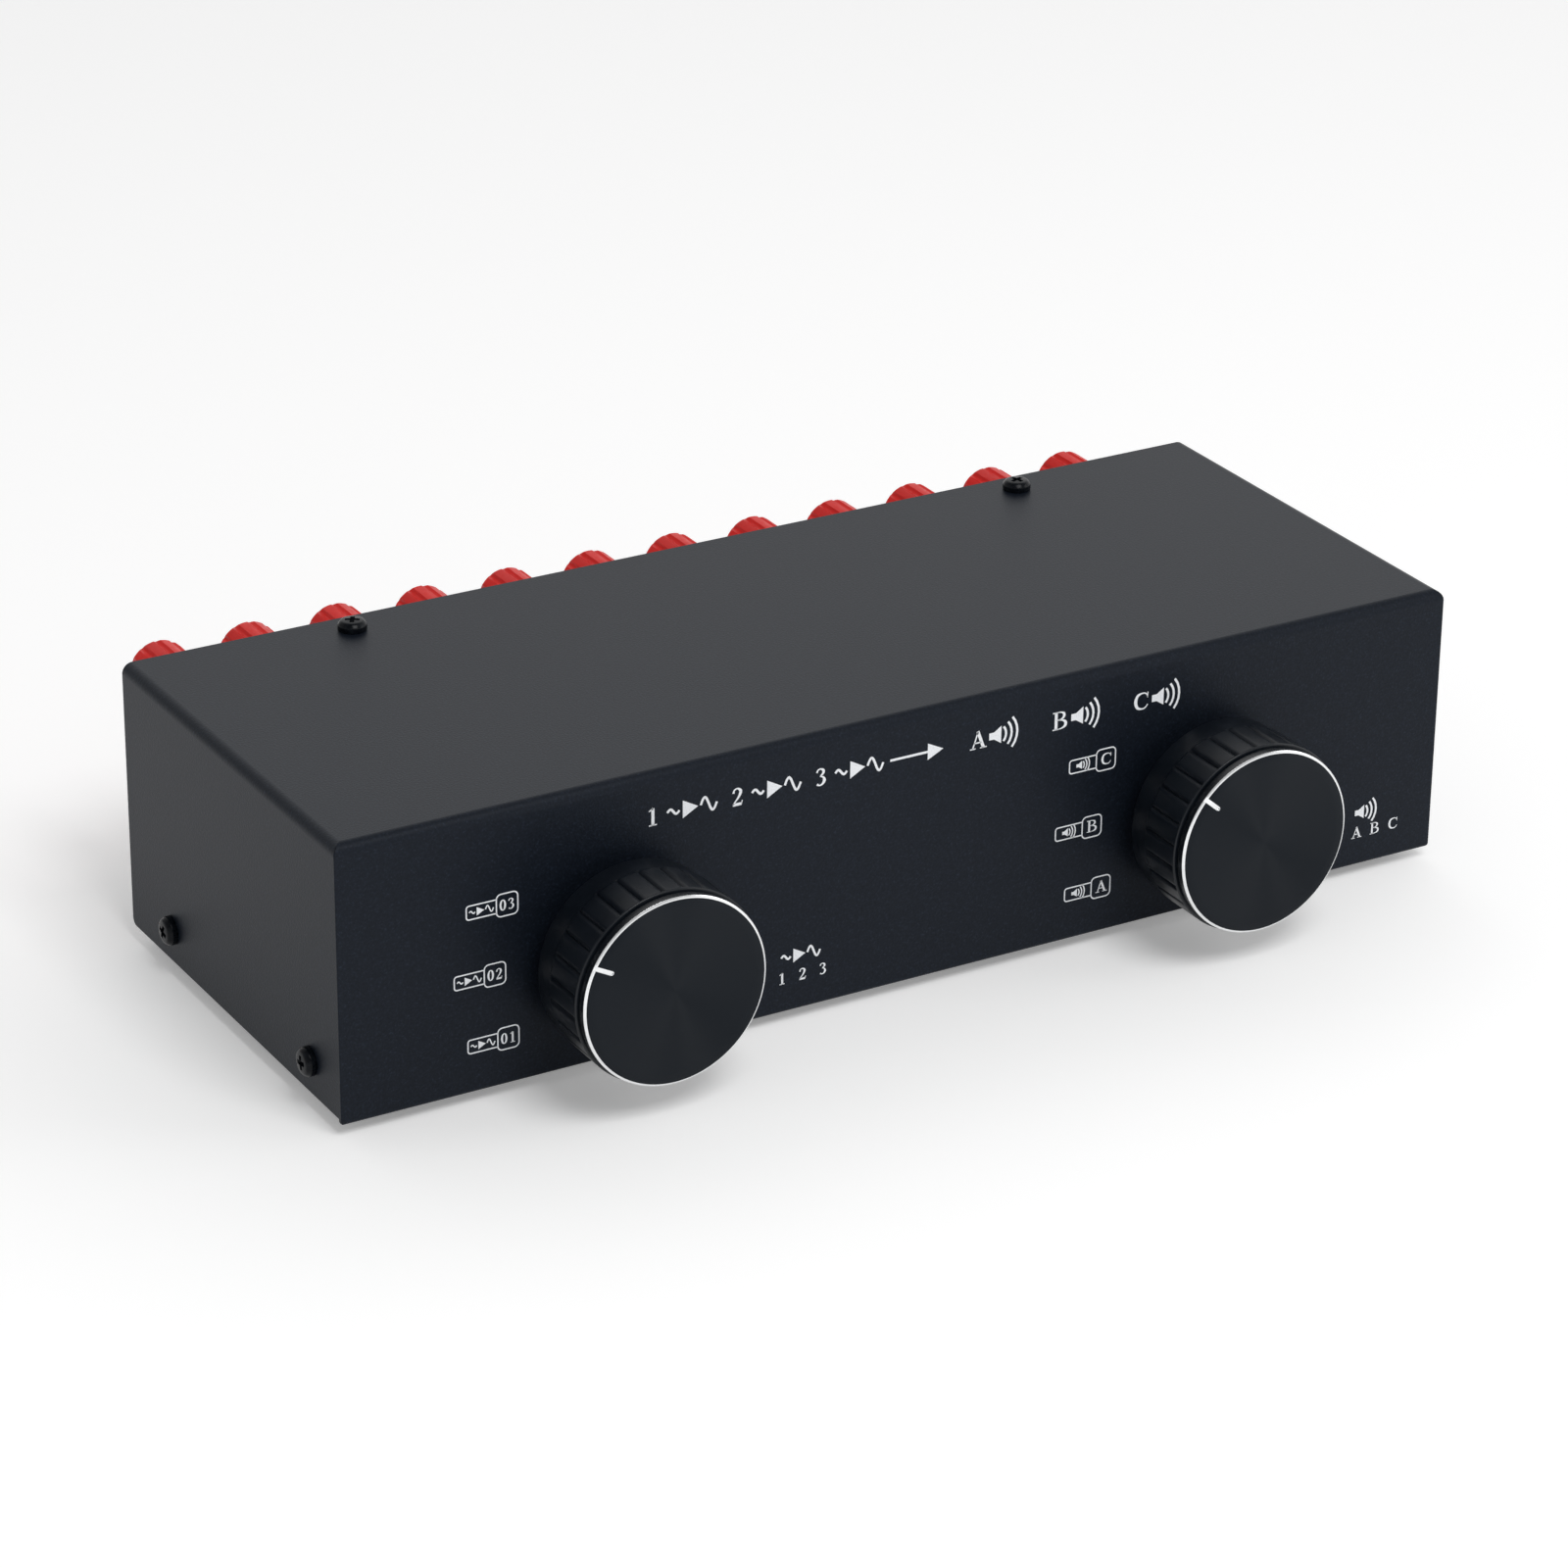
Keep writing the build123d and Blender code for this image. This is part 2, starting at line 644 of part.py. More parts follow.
# The two selectors are the same but for where the knob sits on its splines.
for selector, angle in pointer_angles.items():
    place = selector_plane(selector)
    with BuildPart() as knob:
        with Locations(place):
            add(knob_body.part)
    knob.part.label = f"{selector}_knob"
    export_step(knob.part, f"parts/{selector}_knob.step")

    with BuildPart() as knob_face:
        with Locations(place):
            add(knob_face_blank.part)
        # pointer: a slot milled through the black finish from the rim inwards
        pointer_start = face_radius - face_bevel - pointer_length
        with BuildSketch(place.offset(knob_reach)):
            with PolarLocations(pointer_start + pointer_length / 2, 1, start_angle=angle):
                Rectangle(pointer_length, pointer_width)
        extrude(amount=-pointer_depth, mode=Mode.SUBTRACT)
    knob_face.part.label = f"{selector}_knob_face"
    export_step(knob_face.part, f"parts/{selector}_knob_face.step")

    with BuildPart() as shaft:
        with Locations(place):
            add(shaft_blank.part)
    shaft.part.label = f"{selector}_shaft"
    export_step(shaft.part, f"parts/{selector}_shaft.step")

    with BuildPart() as rotor:
        with Locations(place):
            add(rotor_blank.part)
    rotor.part.label = f"{selector}_rotor"
    export_step(rotor.part, f"parts/{selector}_rotor.step")

    with BuildPart() as wipers:
        with Locations(place):
            add(wipers_blank.part)
    wipers.part.label = f"{selector}_wipers"
    export_step(wipers.part, f"parts/{selector}_wipers.step")

    with BuildPart() as housing:
        with Locations(place):
            add(housing_blank.part)
    housing.part.label = f"{selector}_switch_housing"
    export_step(housing.part, f"parts/{selector}_switch_housing.step")

    with BuildPart() as wafer:
        with Locations(place):
            add(wafer_blank.part)
    wafer.part.label = f"{selector}_switch_wafer"
    export_step(wafer.part, f"parts/{selector}_switch_wafer.step")

    with BuildPart() as terminals:
        with Locations(place):
            add(terminals_blank.part)
    terminals.part.label = f"{selector}_switch_terminals"
    export_step(terminals.part, f"parts/{selector}_switch_terminals.step")

# ---------------------------------------------------------------- switch hardware
# Small parts that are the same in both switches.
with BuildPart() as stop_rings:
    with Locations(*selector_planes):
        add(stop_ring.part)

stop_rings.part.label = "stop_rings"
export_step(stop_rings.part, "parts/stop_rings.step")

with BuildPart() as switch_washers:
    with BuildSketch(*selector_planes):
        Circle(washer_radius)
        with PolarLocations(washer_radius, washer_teeth):
            Rectangle(washer_thickness, washer_thickness, mode=Mode.SUBTRACT)
        Circle(bushing_radius + assembly_gap, mode=Mode.SUBTRACT)
    extrude(amount=washer_thickness)

switch_washers.part.label = "switch_washers"
export_step(switch_washers.part, "parts/switch_washers.step")

with BuildPart() as switch_nuts:
    with BuildSketch(*[plane.offset(washer_thickness) for plane in selector_planes]):
        RegularPolygon(switch_nut_flats / 2, 6, major_radius=False)
        Circle(bushing_radius + assembly_gap, mode=Mode.SUBTRACT)
    extrude(amount=switch_nut_height)

switch_nuts.part.label = "switch_nuts"
export_step(switch_nuts.part, "parts/switch_nuts.step")

with BuildPart() as detent_balls:
    with Locations(*selector_planes):
        with Locations((0, ball_center, pocket_z)):
            Sphere(ball_radius)

detent_balls.part.label = "detent_balls"
export_step(detent_balls.part, "parts/detent_balls.step")

spring_radius = ball_radius - spring_wire - ball_pocket_gap
with BuildPart() as detent_spring:
    spring_foot = (0, spring_start + spring_wire, pocket_z)
    spring_height = spring_length - 2 * spring_wire
    with BuildLine():
        pitch = spring_height / spring_coils
        coil = Helix(pitch, spring_height, spring_radius, center=spring_foot, direction=(0, 1, 0))
    with BuildSketch(Plane(origin=coil @ 0, z_dir=coil % 0)):
        Circle(spring_wire)
    sweep()

with BuildPart() as detent_springs:
    with Locations(*selector_planes):
        add(detent_spring.part)

detent_springs.part.label = "detent_springs"
export_step(detent_springs.part, "parts/detent_springs.step")

# ---------------------------------------------------------------- binding posts
# From the outside in: cap, stud with its 4 mm socket, base, rear panel, inner
# washer, solder tag and nut.
stud_end = post_reach + rear_panel_inset - post_tube_inset
collar_end = post_base_height + post_collar_height
cap_start = collar_end + cap_gap
cap_end = post_reach + rear_panel_inset
washer_back = -chassis_sheet - post_washer_thickness
tag_back = washer_back - tag_thickness
nut_back = tag_back - post_nut_height
rod_hole = post_rod_radius + assembly_gap

with BuildPart() as post_base:
    with BuildSketch():
        Circle(post_base_radius)
    extrude(amount=post_base_height)
    chamfer(post_base.edges().group_by(Axis.Z)[-1], length=cap_chamfer)
    with BuildSketch():
        Circle(post_neck_radius)
    extrude(amount=-chassis_sheet)
    with BuildSketch(Plane.XY.offset(post_base_height)):
        Circle(rod_hole)
    extrude(amount=-post_base_height - chassis_sheet, mode=Mode.SUBTRACT)

for name, planes in (("red_post_bases", red_planes), ("black_post_bases", black_planes)):
    with BuildPart() as post_bases:
        with Locations(*planes):
            add(post_base.part)
    post_bases.part.label = name
    export_step(post_bases.part, f"parts/{name}.step")

with BuildPart() as post_stud:
    with BuildSketch(Plane.XZ):
        with BuildLine():
            Polyline(
                (0, nut_back - post_rod_end),
                (post_rod_radius, nut_back - post_rod_end),
                (post_rod_radius, post_base_height),
                (post_collar_radius, post_base_height),
                (post_collar_radius, collar_end),
                (post_tube_radius, collar_end),
                (post_tube_radius, stud_end),
                (socket_radius, stud_end),
                (socket_radius, stud_end - socket_depth),
                (0, stud_end - socket_depth),
                close=True,
            )
        make_face()
    revolve(axis=Axis.Z)
    # cross hole for bare wire, just outside the collar
    with BuildSketch(Plane.XZ.offset(-post_tube_radius)):
        with Locations((0, collar_end + 1.5 * wire_hole_radius)):
            Circle(wire_hole_radius)
    extrude(amount=2 * post_tube_radius, mode=Mode.SUBTRACT)

with BuildPart() as post_studs:
    with Locations(*post_planes):
        add(post_stud.part)

post_studs.part.label = "post_studs"
export_step(post_studs.part, "parts/post_studs.step")

with BuildPart() as post_cap:
    with BuildSketch(Plane.XY.offset(cap_start)):
        Circle(cap_radius)
    extrude(amount=cap_end - cap_start)
    chamfer(post_cap.edges().group_by(Axis.Z)[-1], length=cap_chamfer)
    with BuildSketch(Plane.XY.offset(cap_start + cap_collar)):
        with PolarLocations(cap_radius + cap_groove_radius - cap_groove_depth, cap_lobes):
            Circle(cap_groove_radius)
    extrude(amount=cap_end - cap_start - cap_collar, mode=Mode.SUBTRACT)
    with BuildSketch(Plane.XY.offset(cap_start)):
        Circle(post_tube_radius + assembly_gap)
    extrude(amount=cap_end - cap_mouth_wall - cap_start, mode=Mode.SUBTRACT)
    with BuildSketch(Plane.XY.offset(cap_end)):
        Circle(cap_mouth_radius)
    extrude(amount=-cap_mouth_wall, mode=Mode.SUBTRACT)

# Each cap stops at its own angle, where its thread has tightened.
for colour, planes in (("red", red_planes), ("black", black_planes)):
    for number, plane in enumerate(planes, start=1):
        with BuildPart() as cap:
            with Locations(plane):
                add(post_cap.part, rotation=(0, 0, cap_turns[(number - 1) % len(cap_turns)]))
        cap.part.label = f"{colour}_cap_{number:02d}"
        export_step(cap.part, f"parts/{colour}_cap_{number:02d}.step")

with BuildPart() as post_washers:
    with BuildSketch(*[plane.offset(-chassis_sheet) for plane in post_planes]):
        Circle(post_washer_radius)
        Circle(rod_hole, mode=Mode.SUBTRACT)
    extrude(amount=-post_washer_thickness)

post_washers.part.label = "post_washers"
export_step(post_washers.part, "parts/post_washers.step")

# The red tags point up and the black ones down, clear of each other.
with BuildPart() as solder_tags:
    for planes, way in ((red_planes, 1), (black_planes, -1)):
        with BuildSketch(*[plane.offset(washer_back) for plane in planes]):
            Circle(tag_ring_radius)
            with Locations((0, way * tag_tail_reach / 2)):
                Rectangle(tag_tail_width, tag_tail_reach)
            Circle(rod_hole, mode=Mode.SUBTRACT)
        extrude(amount=-tag_thickness)

solder_tags.part.label = "solder_tags"
export_step(solder_tags.part, "parts/solder_tags.step")

with BuildPart() as post_nuts:
    with BuildSketch(*[plane.offset(tag_back) for plane in post_planes]):
        RegularPolygon(post_nut_flats / 2, 6, major_radius=False)
        Circle(rod_hole, mode=Mode.SUBTRACT)
    extrude(amount=-post_nut_height)

post_nuts.part.label = "post_nuts"
export_step(post_nuts.part, "parts/post_nuts.step")

# ---------------------------------------------------------------- wiring
# Each post is wired to a throw lug of the switch on its side of the box: red
# posts to the upper half of the ring, black posts to the lower half, in order,
# so no two wires cross. Four wires link the poles of the two switches.
tag_y = panel_y + tag_back
lug_y = front_y - lug_end
half_columns = post_columns // 2
lug_step = 360 / throw_count


def hookup_wire(points, bend):
    """Round wire along straight runs joined by arcs."""
    with BuildPart() as wire:
        with BuildLine():
            route = FilletPolyline(*points, radius=bend)
        with BuildSketch(Plane(origin=route @ 0, z_dir=route % 0)):
            Circle(wire_radius)
        sweep()
    return wire.part


def post_wire(side, column, way):
    """Wire from a post's tag to its lug. side and way give the half of the box."""
    tag_x = side * (half_columns - 0.5 - column) * post_pitch
    tag_z = (red_z if way > 0 else black_z) + way * wire_tag_offset
    lug_x, lug_z = on_circle(throw_circle_radius, lug_step * (half_columns - 0.5 - column))
    lug_x = side * knob_spacing / 2 + side * -lug_x
    lug_z = knob_z + way * lug_z
    points = (
        (tag_x, tag_y, tag_z),
        (tag_x, tag_y - wire_tag_lead, tag_z),
        (lug_x, lug_y + wire_lug_lead, lug_z),
        (lug_x, lug_y, lug_z),
    )
    return hookup_wire(points, wire_bend)


for selector, side in (("amp", -1), ("speaker", 1)):
    with BuildPart() as wires:
        for column in range(half_columns):
            for way in (1, -1):
                add(post_wire(side, column, way))
    wires.part.label = f"{selector}_wires"
    export_step(wires.part, f"parts/{selector}_wires.step")

with BuildPart() as link_wires:
    for angle in pole_angles:
        pole_x, pole_z = on_circle(pole_circle_radius, angle)
        start_x = knob_spacing / 2 - pole_x
        start_z = knob_z + pole_z
        run_z = knob_z + link_lane_rise[1 if pole_z > 0 else 0]
        run_y = lug_y + link_lane_depth[0 if pole_x > 0 else 1]
        points = (
            (-start_x, lug_y, start_z),
            (-start_x, lug_y + link_lead, start_z),
            (-start_x, run_y, run_z),
            (start_x, run_y, run_z),
            (start_x, lug_y + link_lead, start_z),
            (start_x, lug_y, start_z),
        )
        add(hookup_wire(points, link_bend))

link_wires.part.label = "link_wires"
export_step(link_wires.part, "parts/link_wires.step")
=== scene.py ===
from math import cos, hypot, pi, radians, sin

import bmesh
import bpy
from mathutils import Matrix, Vector


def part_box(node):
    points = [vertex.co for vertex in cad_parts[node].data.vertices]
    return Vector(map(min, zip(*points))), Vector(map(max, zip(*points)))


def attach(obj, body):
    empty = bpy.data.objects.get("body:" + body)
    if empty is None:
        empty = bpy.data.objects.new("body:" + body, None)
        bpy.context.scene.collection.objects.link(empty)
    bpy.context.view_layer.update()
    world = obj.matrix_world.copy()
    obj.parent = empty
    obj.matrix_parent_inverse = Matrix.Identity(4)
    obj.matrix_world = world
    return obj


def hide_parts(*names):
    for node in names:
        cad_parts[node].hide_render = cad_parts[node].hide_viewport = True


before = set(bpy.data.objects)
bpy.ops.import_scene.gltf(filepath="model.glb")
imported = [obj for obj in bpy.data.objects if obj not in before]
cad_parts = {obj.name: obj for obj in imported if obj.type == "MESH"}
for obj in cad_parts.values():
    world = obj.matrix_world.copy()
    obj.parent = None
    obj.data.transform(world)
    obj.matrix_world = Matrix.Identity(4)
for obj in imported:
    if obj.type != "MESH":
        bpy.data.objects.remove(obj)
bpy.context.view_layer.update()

# ------------------------------------------------------------------ chassis
# The chassis is a folded steel tray: bottom, front lip, rear panel and flanges.
# It is powder coated black, with the fine dry grain that the cover has too.


def new_finish(name, colour, roughness, metallic=0.0, specular=0.5):
    """Material with plain settings on its shader, and where to read the place on a piece."""
    finish = bpy.data.materials.new(name)
    finish.use_nodes = True
    tree = finish.node_tree
    shader = tree.nodes["Principled BSDF"]
    shader.inputs["Base Color"].default_value = (*colour, 1)
    shader.inputs["Roughness"].default_value = roughness
    shader.inputs["Metallic"].default_value = metallic
    shader.inputs["Specular IOR Level"].default_value = specular
    place = tree.nodes.new("ShaderNodeTexCoord").outputs["Object"]
    return finish, tree, shader, place


def stretched(tree, place, stretch):
    """The place on a piece, scaled by a factor for each axis."""
    mapping = tree.nodes.new("ShaderNodeMapping")
    mapping.inputs["Scale"].default_value = stretch
    tree.links.new(place, mapping.inputs["Vector"])
    return mapping.outputs["Vector"]


def grain(tree, place, size, detail=2.0):
    """Noise with grains of that size in metres."""
    noise = tree.nodes.new("ShaderNodeTexNoise")
    noise.inputs["Scale"].default_value = 1 / size
    noise.inputs["Detail"].default_value = detail
    tree.links.new(place, noise.inputs["Vector"])
    return noise.outputs["Fac"]


def shift(tree, value, start, end, low, high):
    """Value mapped from start..end to low..high."""
    change = tree.nodes.new("ShaderNodeMapRange")
    change.inputs["From Min"].default_value = start
    change.inputs["From Max"].default_value = end
    change.inputs["To Min"].default_value = low
    change.inputs["To Max"].default_value = high
    tree.links.new(value, change.inputs["Value"])
    return change.outputs["Result"]


def tint(tree, shader, value, stops):
    """Base colour that runs through (position, colour) stops as value rises."""
    ramp = tree.nodes.new("ShaderNodeValToRGB")
    marks = ramp.color_ramp.elements
    while len(marks) < len(stops):
        marks.new(1.0)
    for mark, (position, colour) in zip(marks, stops):
        mark.position = position
        mark.color = (*colour, 1)
    tree.links.new(value, ramp.inputs["Fac"])
    tree.links.new(ramp.outputs["Color"], shader.inputs["Base Color"])


def emboss(tree, shader, value, height, strength):
    """Bumps of that height in metres, where value says how high each place lies."""
    bump = tree.nodes.new("ShaderNodeBump")
    bump.inputs["Distance"].default_value = height
    bump.inputs["Strength"].default_value = strength
    tree.links.new(value, bump.inputs["Height"])
    tree.links.new(bump.outputs["Normal"], shader.inputs["Normal"])


def powder_coat(name, dark, light):
    """Powder coat: satin, with a fine dry grain and a few pale specks."""
    finish, tree, shader, place = new_finish(name, dark, 0.42, specular=0.16)
    dust = grain(tree, place, 0.00045, 3.0)
    speck = [1.9 * part for part in light]
    tint(tree, shader, dust, ((0.3, dark), (0.6, light), (0.74, speck)))
    shader.inputs["Specular Tint"].default_value = (0.86, 0.91, 1.0, 1)
    emboss(tree, shader, dust, 0.00005, 0.8)
    return finish


def finish_node(node, finish):
    """A solid of the frame gets its finish."""
    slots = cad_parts[node].data.materials
    slots.clear()
    slots.append(finish)


coat_dark = (0.0044, 0.0064, 0.0104)
coat_light = (0.0070, 0.0101, 0.0164)
finish_node("chassis", powder_coat("chassis_powder_coat", coat_dark, coat_light))

# ------------------------------------------------------------------ feet
# Four round bumpers of soft black rubber, stuck under the tray near its
# corners. Each is moulded with a rounded edge and a shallow dish below.
mm = 0.001
sharp_from = radians(38)


def softened(points, steps=4):
    """Outline with its corners rounded: a point is (across, up) or (across, up, radius)."""
    outline = []
    for index, point in enumerate(points):
        corner = Vector(point[:2])
        if len(point) == 2 or index in (0, len(points) - 1):
            outline.append(tuple(corner))
            continue
        before = Vector(points[index - 1][:2]) - corner
        after = Vector(points[index + 1][:2]) - corner
        half_turn = before.angle(after) / 2
        middle = (before.normalized() + after.normalized()).normalized()
        centre = corner + middle * point[2] / sin(half_turn)
        start = corner + before.normalized() * point[2] * cos(half_turn) / sin(half_turn) - centre
        end = corner + after.normalized() * point[2] * cos(half_turn) / sin(half_turn) - centre
        for step in range(steps + 1):
            outline.append(tuple(centre + start.slerp(end, step / steps) * point[2]))
    return outline


def turned(name, outline, columns, shape=None, loop=False):
    """Mesh turned about local z from an outline in millimetres. shape(angle, radius,
    height) gives the radius of a piece that isn't round; loop joins the outline's ends."""
    lathe = bmesh.new()
    rings = []
    on_axis = 1e-6
    for radius, height in outline:
        if radius < on_axis:
            rings.append([lathe.verts.new((0, 0, height * mm))] * columns)
            continue
        ring = []
        for column in range(columns):
            angle = 2 * pi * column / columns
            reach = shape(angle, radius, height) if shape else radius
            spot = (reach * cos(angle) * mm, reach * sin(angle) * mm, height * mm)
            ring.append(lathe.verts.new(spot))
        rings.append(ring)
    pairs = list(zip(rings, rings[1:]))
    if loop:
        pairs.append((rings[-1], rings[0]))
    for lower, upper in pairs:
        for column in range(columns):
            following = (column + 1) % columns
            corners = [lower[column], lower[following], upper[following], upper[column]]
            lathe.faces.new(list(dict.fromkeys(corners)))
    bmesh.ops.recalc_face_normals(lathe, faces=lathe.faces)
    mesh = bpy.data.meshes.new(name)
    lathe.to_mesh(mesh)
    lathe.free()
    mesh.polygons.foreach_set("use_smooth", [True] * len(mesh.polygons))
    mesh.set_sharp_from_angle(angle=sharp_from)
    return mesh


def placed(name, mesh, spot, turn, finish=None):
    """Piece made from a mesh, at a spot in millimetres and turned by degrees."""
    piece = bpy.data.objects.new(name, mesh)
    bpy.context.scene.collection.objects.link(piece)
    piece.location = Vector(spot) * mm
    piece.rotation_euler = [radians(part) for part in turn]
    if finish and not mesh.materials:
        mesh.materials.append(finish)
    return piece


def block(name, lower, upper):
    """Closed mesh between two rings of as many (x, y, z) corners in millimetres."""
    solid = bmesh.new()
    floor = [solid.verts.new(Vector(corner) * mm) for corner in lower]
    top = [solid.verts.new(Vector(corner) * mm) for corner in upper]
    solid.faces.new(list(reversed(floor)))
    solid.faces.new(top)
    for index in range(len(floor)):
        following = (index + 1) % len(floor)
        solid.faces.new((floor[index], floor[following], top[following], top[index]))
    bmesh.ops.recalc_face_normals(solid, faces=solid.faces)
    mesh = bpy.data.meshes.new(name)
    solid.to_mesh(mesh)
    solid.free()
    return mesh


def middle_of(node):
    """Middle of a node's box, in millimetres."""
    low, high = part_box(node)
    return (low + high) / 2 / mm


def black_rubber():
    """Moulded rubber: dull, with a fine bloom and a little dust."""
    finish, tree, shader, place = new_finish(
        "foot_rubber", (0.012, 0.012, 0.012), 0.8, specular=0.3)
    bloom = grain(tree, place, 0.0022, 4.0)
    tint(tree, shader, bloom, ((0.3, (0.010, 0.010, 0.010)), (0.7, (0.024, 0.023, 0.022))))
    emboss(tree, shader, grain(tree, place, 0.0003), 0.00002, 0.5)
    return finish


foot_radius = 6.0
foot_base_radius = 5.47
foot_height = 2.5
foot_columns = 64
dish_radius = 3.4
dish_depth = 0.35
dish_slope = 0.4
foot_outline = softened([
    (0, dish_depth), (dish_radius, dish_depth, 0.3), (dish_radius + dish_slope, 0),
    (foot_base_radius, 0, 0.35), (foot_radius, foot_height, 0.15), (0, foot_height)])
foot_mesh = turned("foot", foot_outline, foot_columns)
foot_finish = black_rubber()
for node in ("front_feet", "rear_feet"):
    low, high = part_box(node)
    row_y = middle_of(node).y
    foot_xs = {"left": low.x / mm + foot_radius, "right": high.x / mm - foot_radius}
    for hand, foot_x in foot_xs.items():
        foot = placed(f"{node}_{hand}", foot_mesh, (foot_x, row_y, 0), (0, 0, 0), foot_finish)
        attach(foot, "cabinet")
        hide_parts(node)

# ------------------------------------------------------------------ rotary switches
# Each selector turns a rotary switch behind the front panel: die-cast housing,
# moulded rotor with spring wipers, and a phenolic wafer with silvered contacts.


def die_cast():
    """Die-cast zinc: grey, slightly blotched from the mould."""
    finish, tree, shader, place = new_finish("die_cast_zinc", (0.4, 0.4, 0.41), 0.45, metallic=1.0)
    blotch = grain(tree, place, 0.003, 5.0)
    tint(tree, shader, blotch, ((0.3, (0.3, 0.3, 0.31)), (0.7, (0.46, 0.46, 0.47))))
    emboss(tree, shader, grain(tree, place, 0.0004), 0.00002, 0.4)
    return finish


def zinc_plate(name, colour):
    """Plated steel or brass: bright, with faint drawing lines and stains."""
    finish, tree, shader, place = new_finish(name, colour, 0.3, metallic=1.0)
    stain = grain(tree, place, 0.0018, 4.0)
    tint(tree, shader, stain, ((0.3, [0.8 * part for part in colour]), (0.6, colour)))
    tree.links.new(shift(tree, stain, 0.3, 0.7, 0.22, 0.42), shader.inputs["Roughness"])
    lines = grain(tree, stretched(tree, place, (1, 1, 14)), 0.0006)
    emboss(tree, shader, lines, 0.000008, 0.4)
    return finish


def phenolic_board():
    """Paper-filled phenolic: brown, mottled, with a layered look."""
    finish, tree, shader, place = new_finish("phenolic_board", (0.2, 0.07, 0.025), 0.5)
    mottle = grain(tree, place, 0.0009, 6.0)
    tint(tree, shader, mottle, ((0.3, (0.13, 0.045, 0.016)), (0.7, (0.27, 0.11, 0.045))))
    emboss(tree, shader, mottle, 0.00002, 0.4)
    return finish


def natural_moulding():
    """Undyed nylon: pale, waxy, a little uneven in tone."""
    finish, tree, shader, place = new_finish("natural_nylon", (0.62, 0.58, 0.48), 0.48)
    tone = grain(tree, place, 0.005, 3.0)
    tint(tree, shader, tone, ((0.3, (0.54, 0.5, 0.4)), (0.7, (0.68, 0.64, 0.54))))
    shader.inputs["Subsurface Weight"].default_value = 0.15
    shader.inputs["Subsurface Radius"].default_value = (0.001, 0.001, 0.001)
    return finish


housing_finish = die_cast()
wafer_finish = phenolic_board()
rotor_finish = natural_moulding()
bright_steel = zinc_plate("zinc_plated_steel", (0.6, 0.6, 0.59))
silvered = zinc_plate("silvered_brass", (0.74, 0.71, 0.63))
for selector in ("amp", "speaker"):
    finish_node(f"{selector}_switch_housing", housing_finish)
    finish_node(f"{selector}_switch_wafer", wafer_finish)
    finish_node(f"{selector}_switch_terminals", silvered)
    finish_node(f"{selector}_rotor", rotor_finish)
    finish_node(f"{selector}_wipers", silvered)
    finish_node(f"{selector}_shaft", bright_steel)
for node in ("stop_rings", "detent_balls", "detent_springs", "switch_washers", "switch_nuts"):
    finish_node(node, bright_steel)

# ------------------------------------------------------------------ binding posts
# Twenty-four screw posts in two rows: moulded base, turned and plated stud with
# a 4 mm socket, and inside the box an insulating washer, solder tag and nut.
post_columns = 12
rows = {"red": middle_of("red_post_bases").z, "black": middle_of("black_post_bases").z}
low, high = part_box("red_post_bases")
base_radius = 6.2
base_height = 4.0
panel_y = high.y / mm - base_height
post_pitch = ((high.x - low.x) / mm - 2 * base_radius) / (post_columns - 1)
post_xs = [low.x / mm + base_radius + column * post_pitch for column in range(post_columns)]
facing_rear = (90, 0, 180)


def moulded_plastic(name, colour, roughness=0.34):
    """Moulded plastic: even colour, slight flow marks and a satin skin."""
    finish, tree, shader, place = new_finish(name, colour, roughness, specular=0.08)
    flow = grain(tree, stretched(tree, place, (1, 1, 0.3)), 0.003, 4.0)
    tint(tree, shader, flow, ((0.25, [0.84 * part for part in colour]), (0.7, colour)))
    skin = shift(tree, grain(tree, place, 0.0012, 3.0), 0.3, 0.7, roughness - 0.06, roughness + 0.1)
    tree.links.new(skin, shader.inputs["Roughness"])
    emboss(tree, shader, grain(tree, place, 0.00035), 0.000012, 0.5)
    return finish


def turned_plating(name, colour):
    """Plated turned brass: fine rings left by the lathe, about local z."""
    finish, tree, shader, place = new_finish(name, colour, 0.24, metallic=1.0)
    rings = grain(tree, stretched(tree, place, (0.02, 0.02, 1)), 0.00012, 2.0)
    stain = grain(tree, place, 0.002, 4.0)
    tint(tree, shader, stain, ((0.3, [0.82 * part for part in colour]), (0.65, colour)))
    tree.links.new(shift(tree, stain, 0.3, 0.7, 0.16, 0.34), shader.inputs["Roughness"])
    emboss(tree, shader, rings, 0.000006, 0.5)
    return finish


post_plastics = {
    "red": moulded_plastic("red_post_plastic", (0.72, 0.02, 0.016)),
    "black": moulded_plastic("black_post_plastic", (0.014, 0.014, 0.015)),
}
stud_plating = turned_plating("stud_plating", (0.74, 0.69, 0.58))

base_bore = 2.55
base_seat = 0.02
base_columns = 72
countersink_width = 0.4
countersink_depth = 0.3
neck_radius = 4.0
sheet_back = -1.0
base_outline = softened([
    (base_bore, sheet_back), (neck_radius, sheet_back), (neck_radius, base_seat),
    (base_radius, base_seat, 0.25), (base_radius, base_height, 0.6),
    (base_bore + countersink_width, base_height, 0.2),
    (base_bore, base_height - countersink_depth)])
base_meshes = {
    colour: turned(f"{colour}_base", base_outline, base_columns, loop=True) for colour in rows}

collar_radius = 4.6
collar_end = 6.0
tube_radius = 3.0
tube_end = 22.1
socket_radius = 2.05
socket_floor = 5.1
thread_pitch = 0.75
thread_depth = 0.28
thread_start = 6.3
thread_end = 15.0


def threaded(angle, radius, height):
    """Radius of the stud's tube with its right-hand thread."""
    on_tube = radius > tube_radius - 0.01
    if not on_tube or not thread_start < height < thread_end:
        return radius
    place = (height / thread_pitch - angle / (2 * pi)) % 1
    return radius - thread_depth * (1 - abs(2 * place - 1))


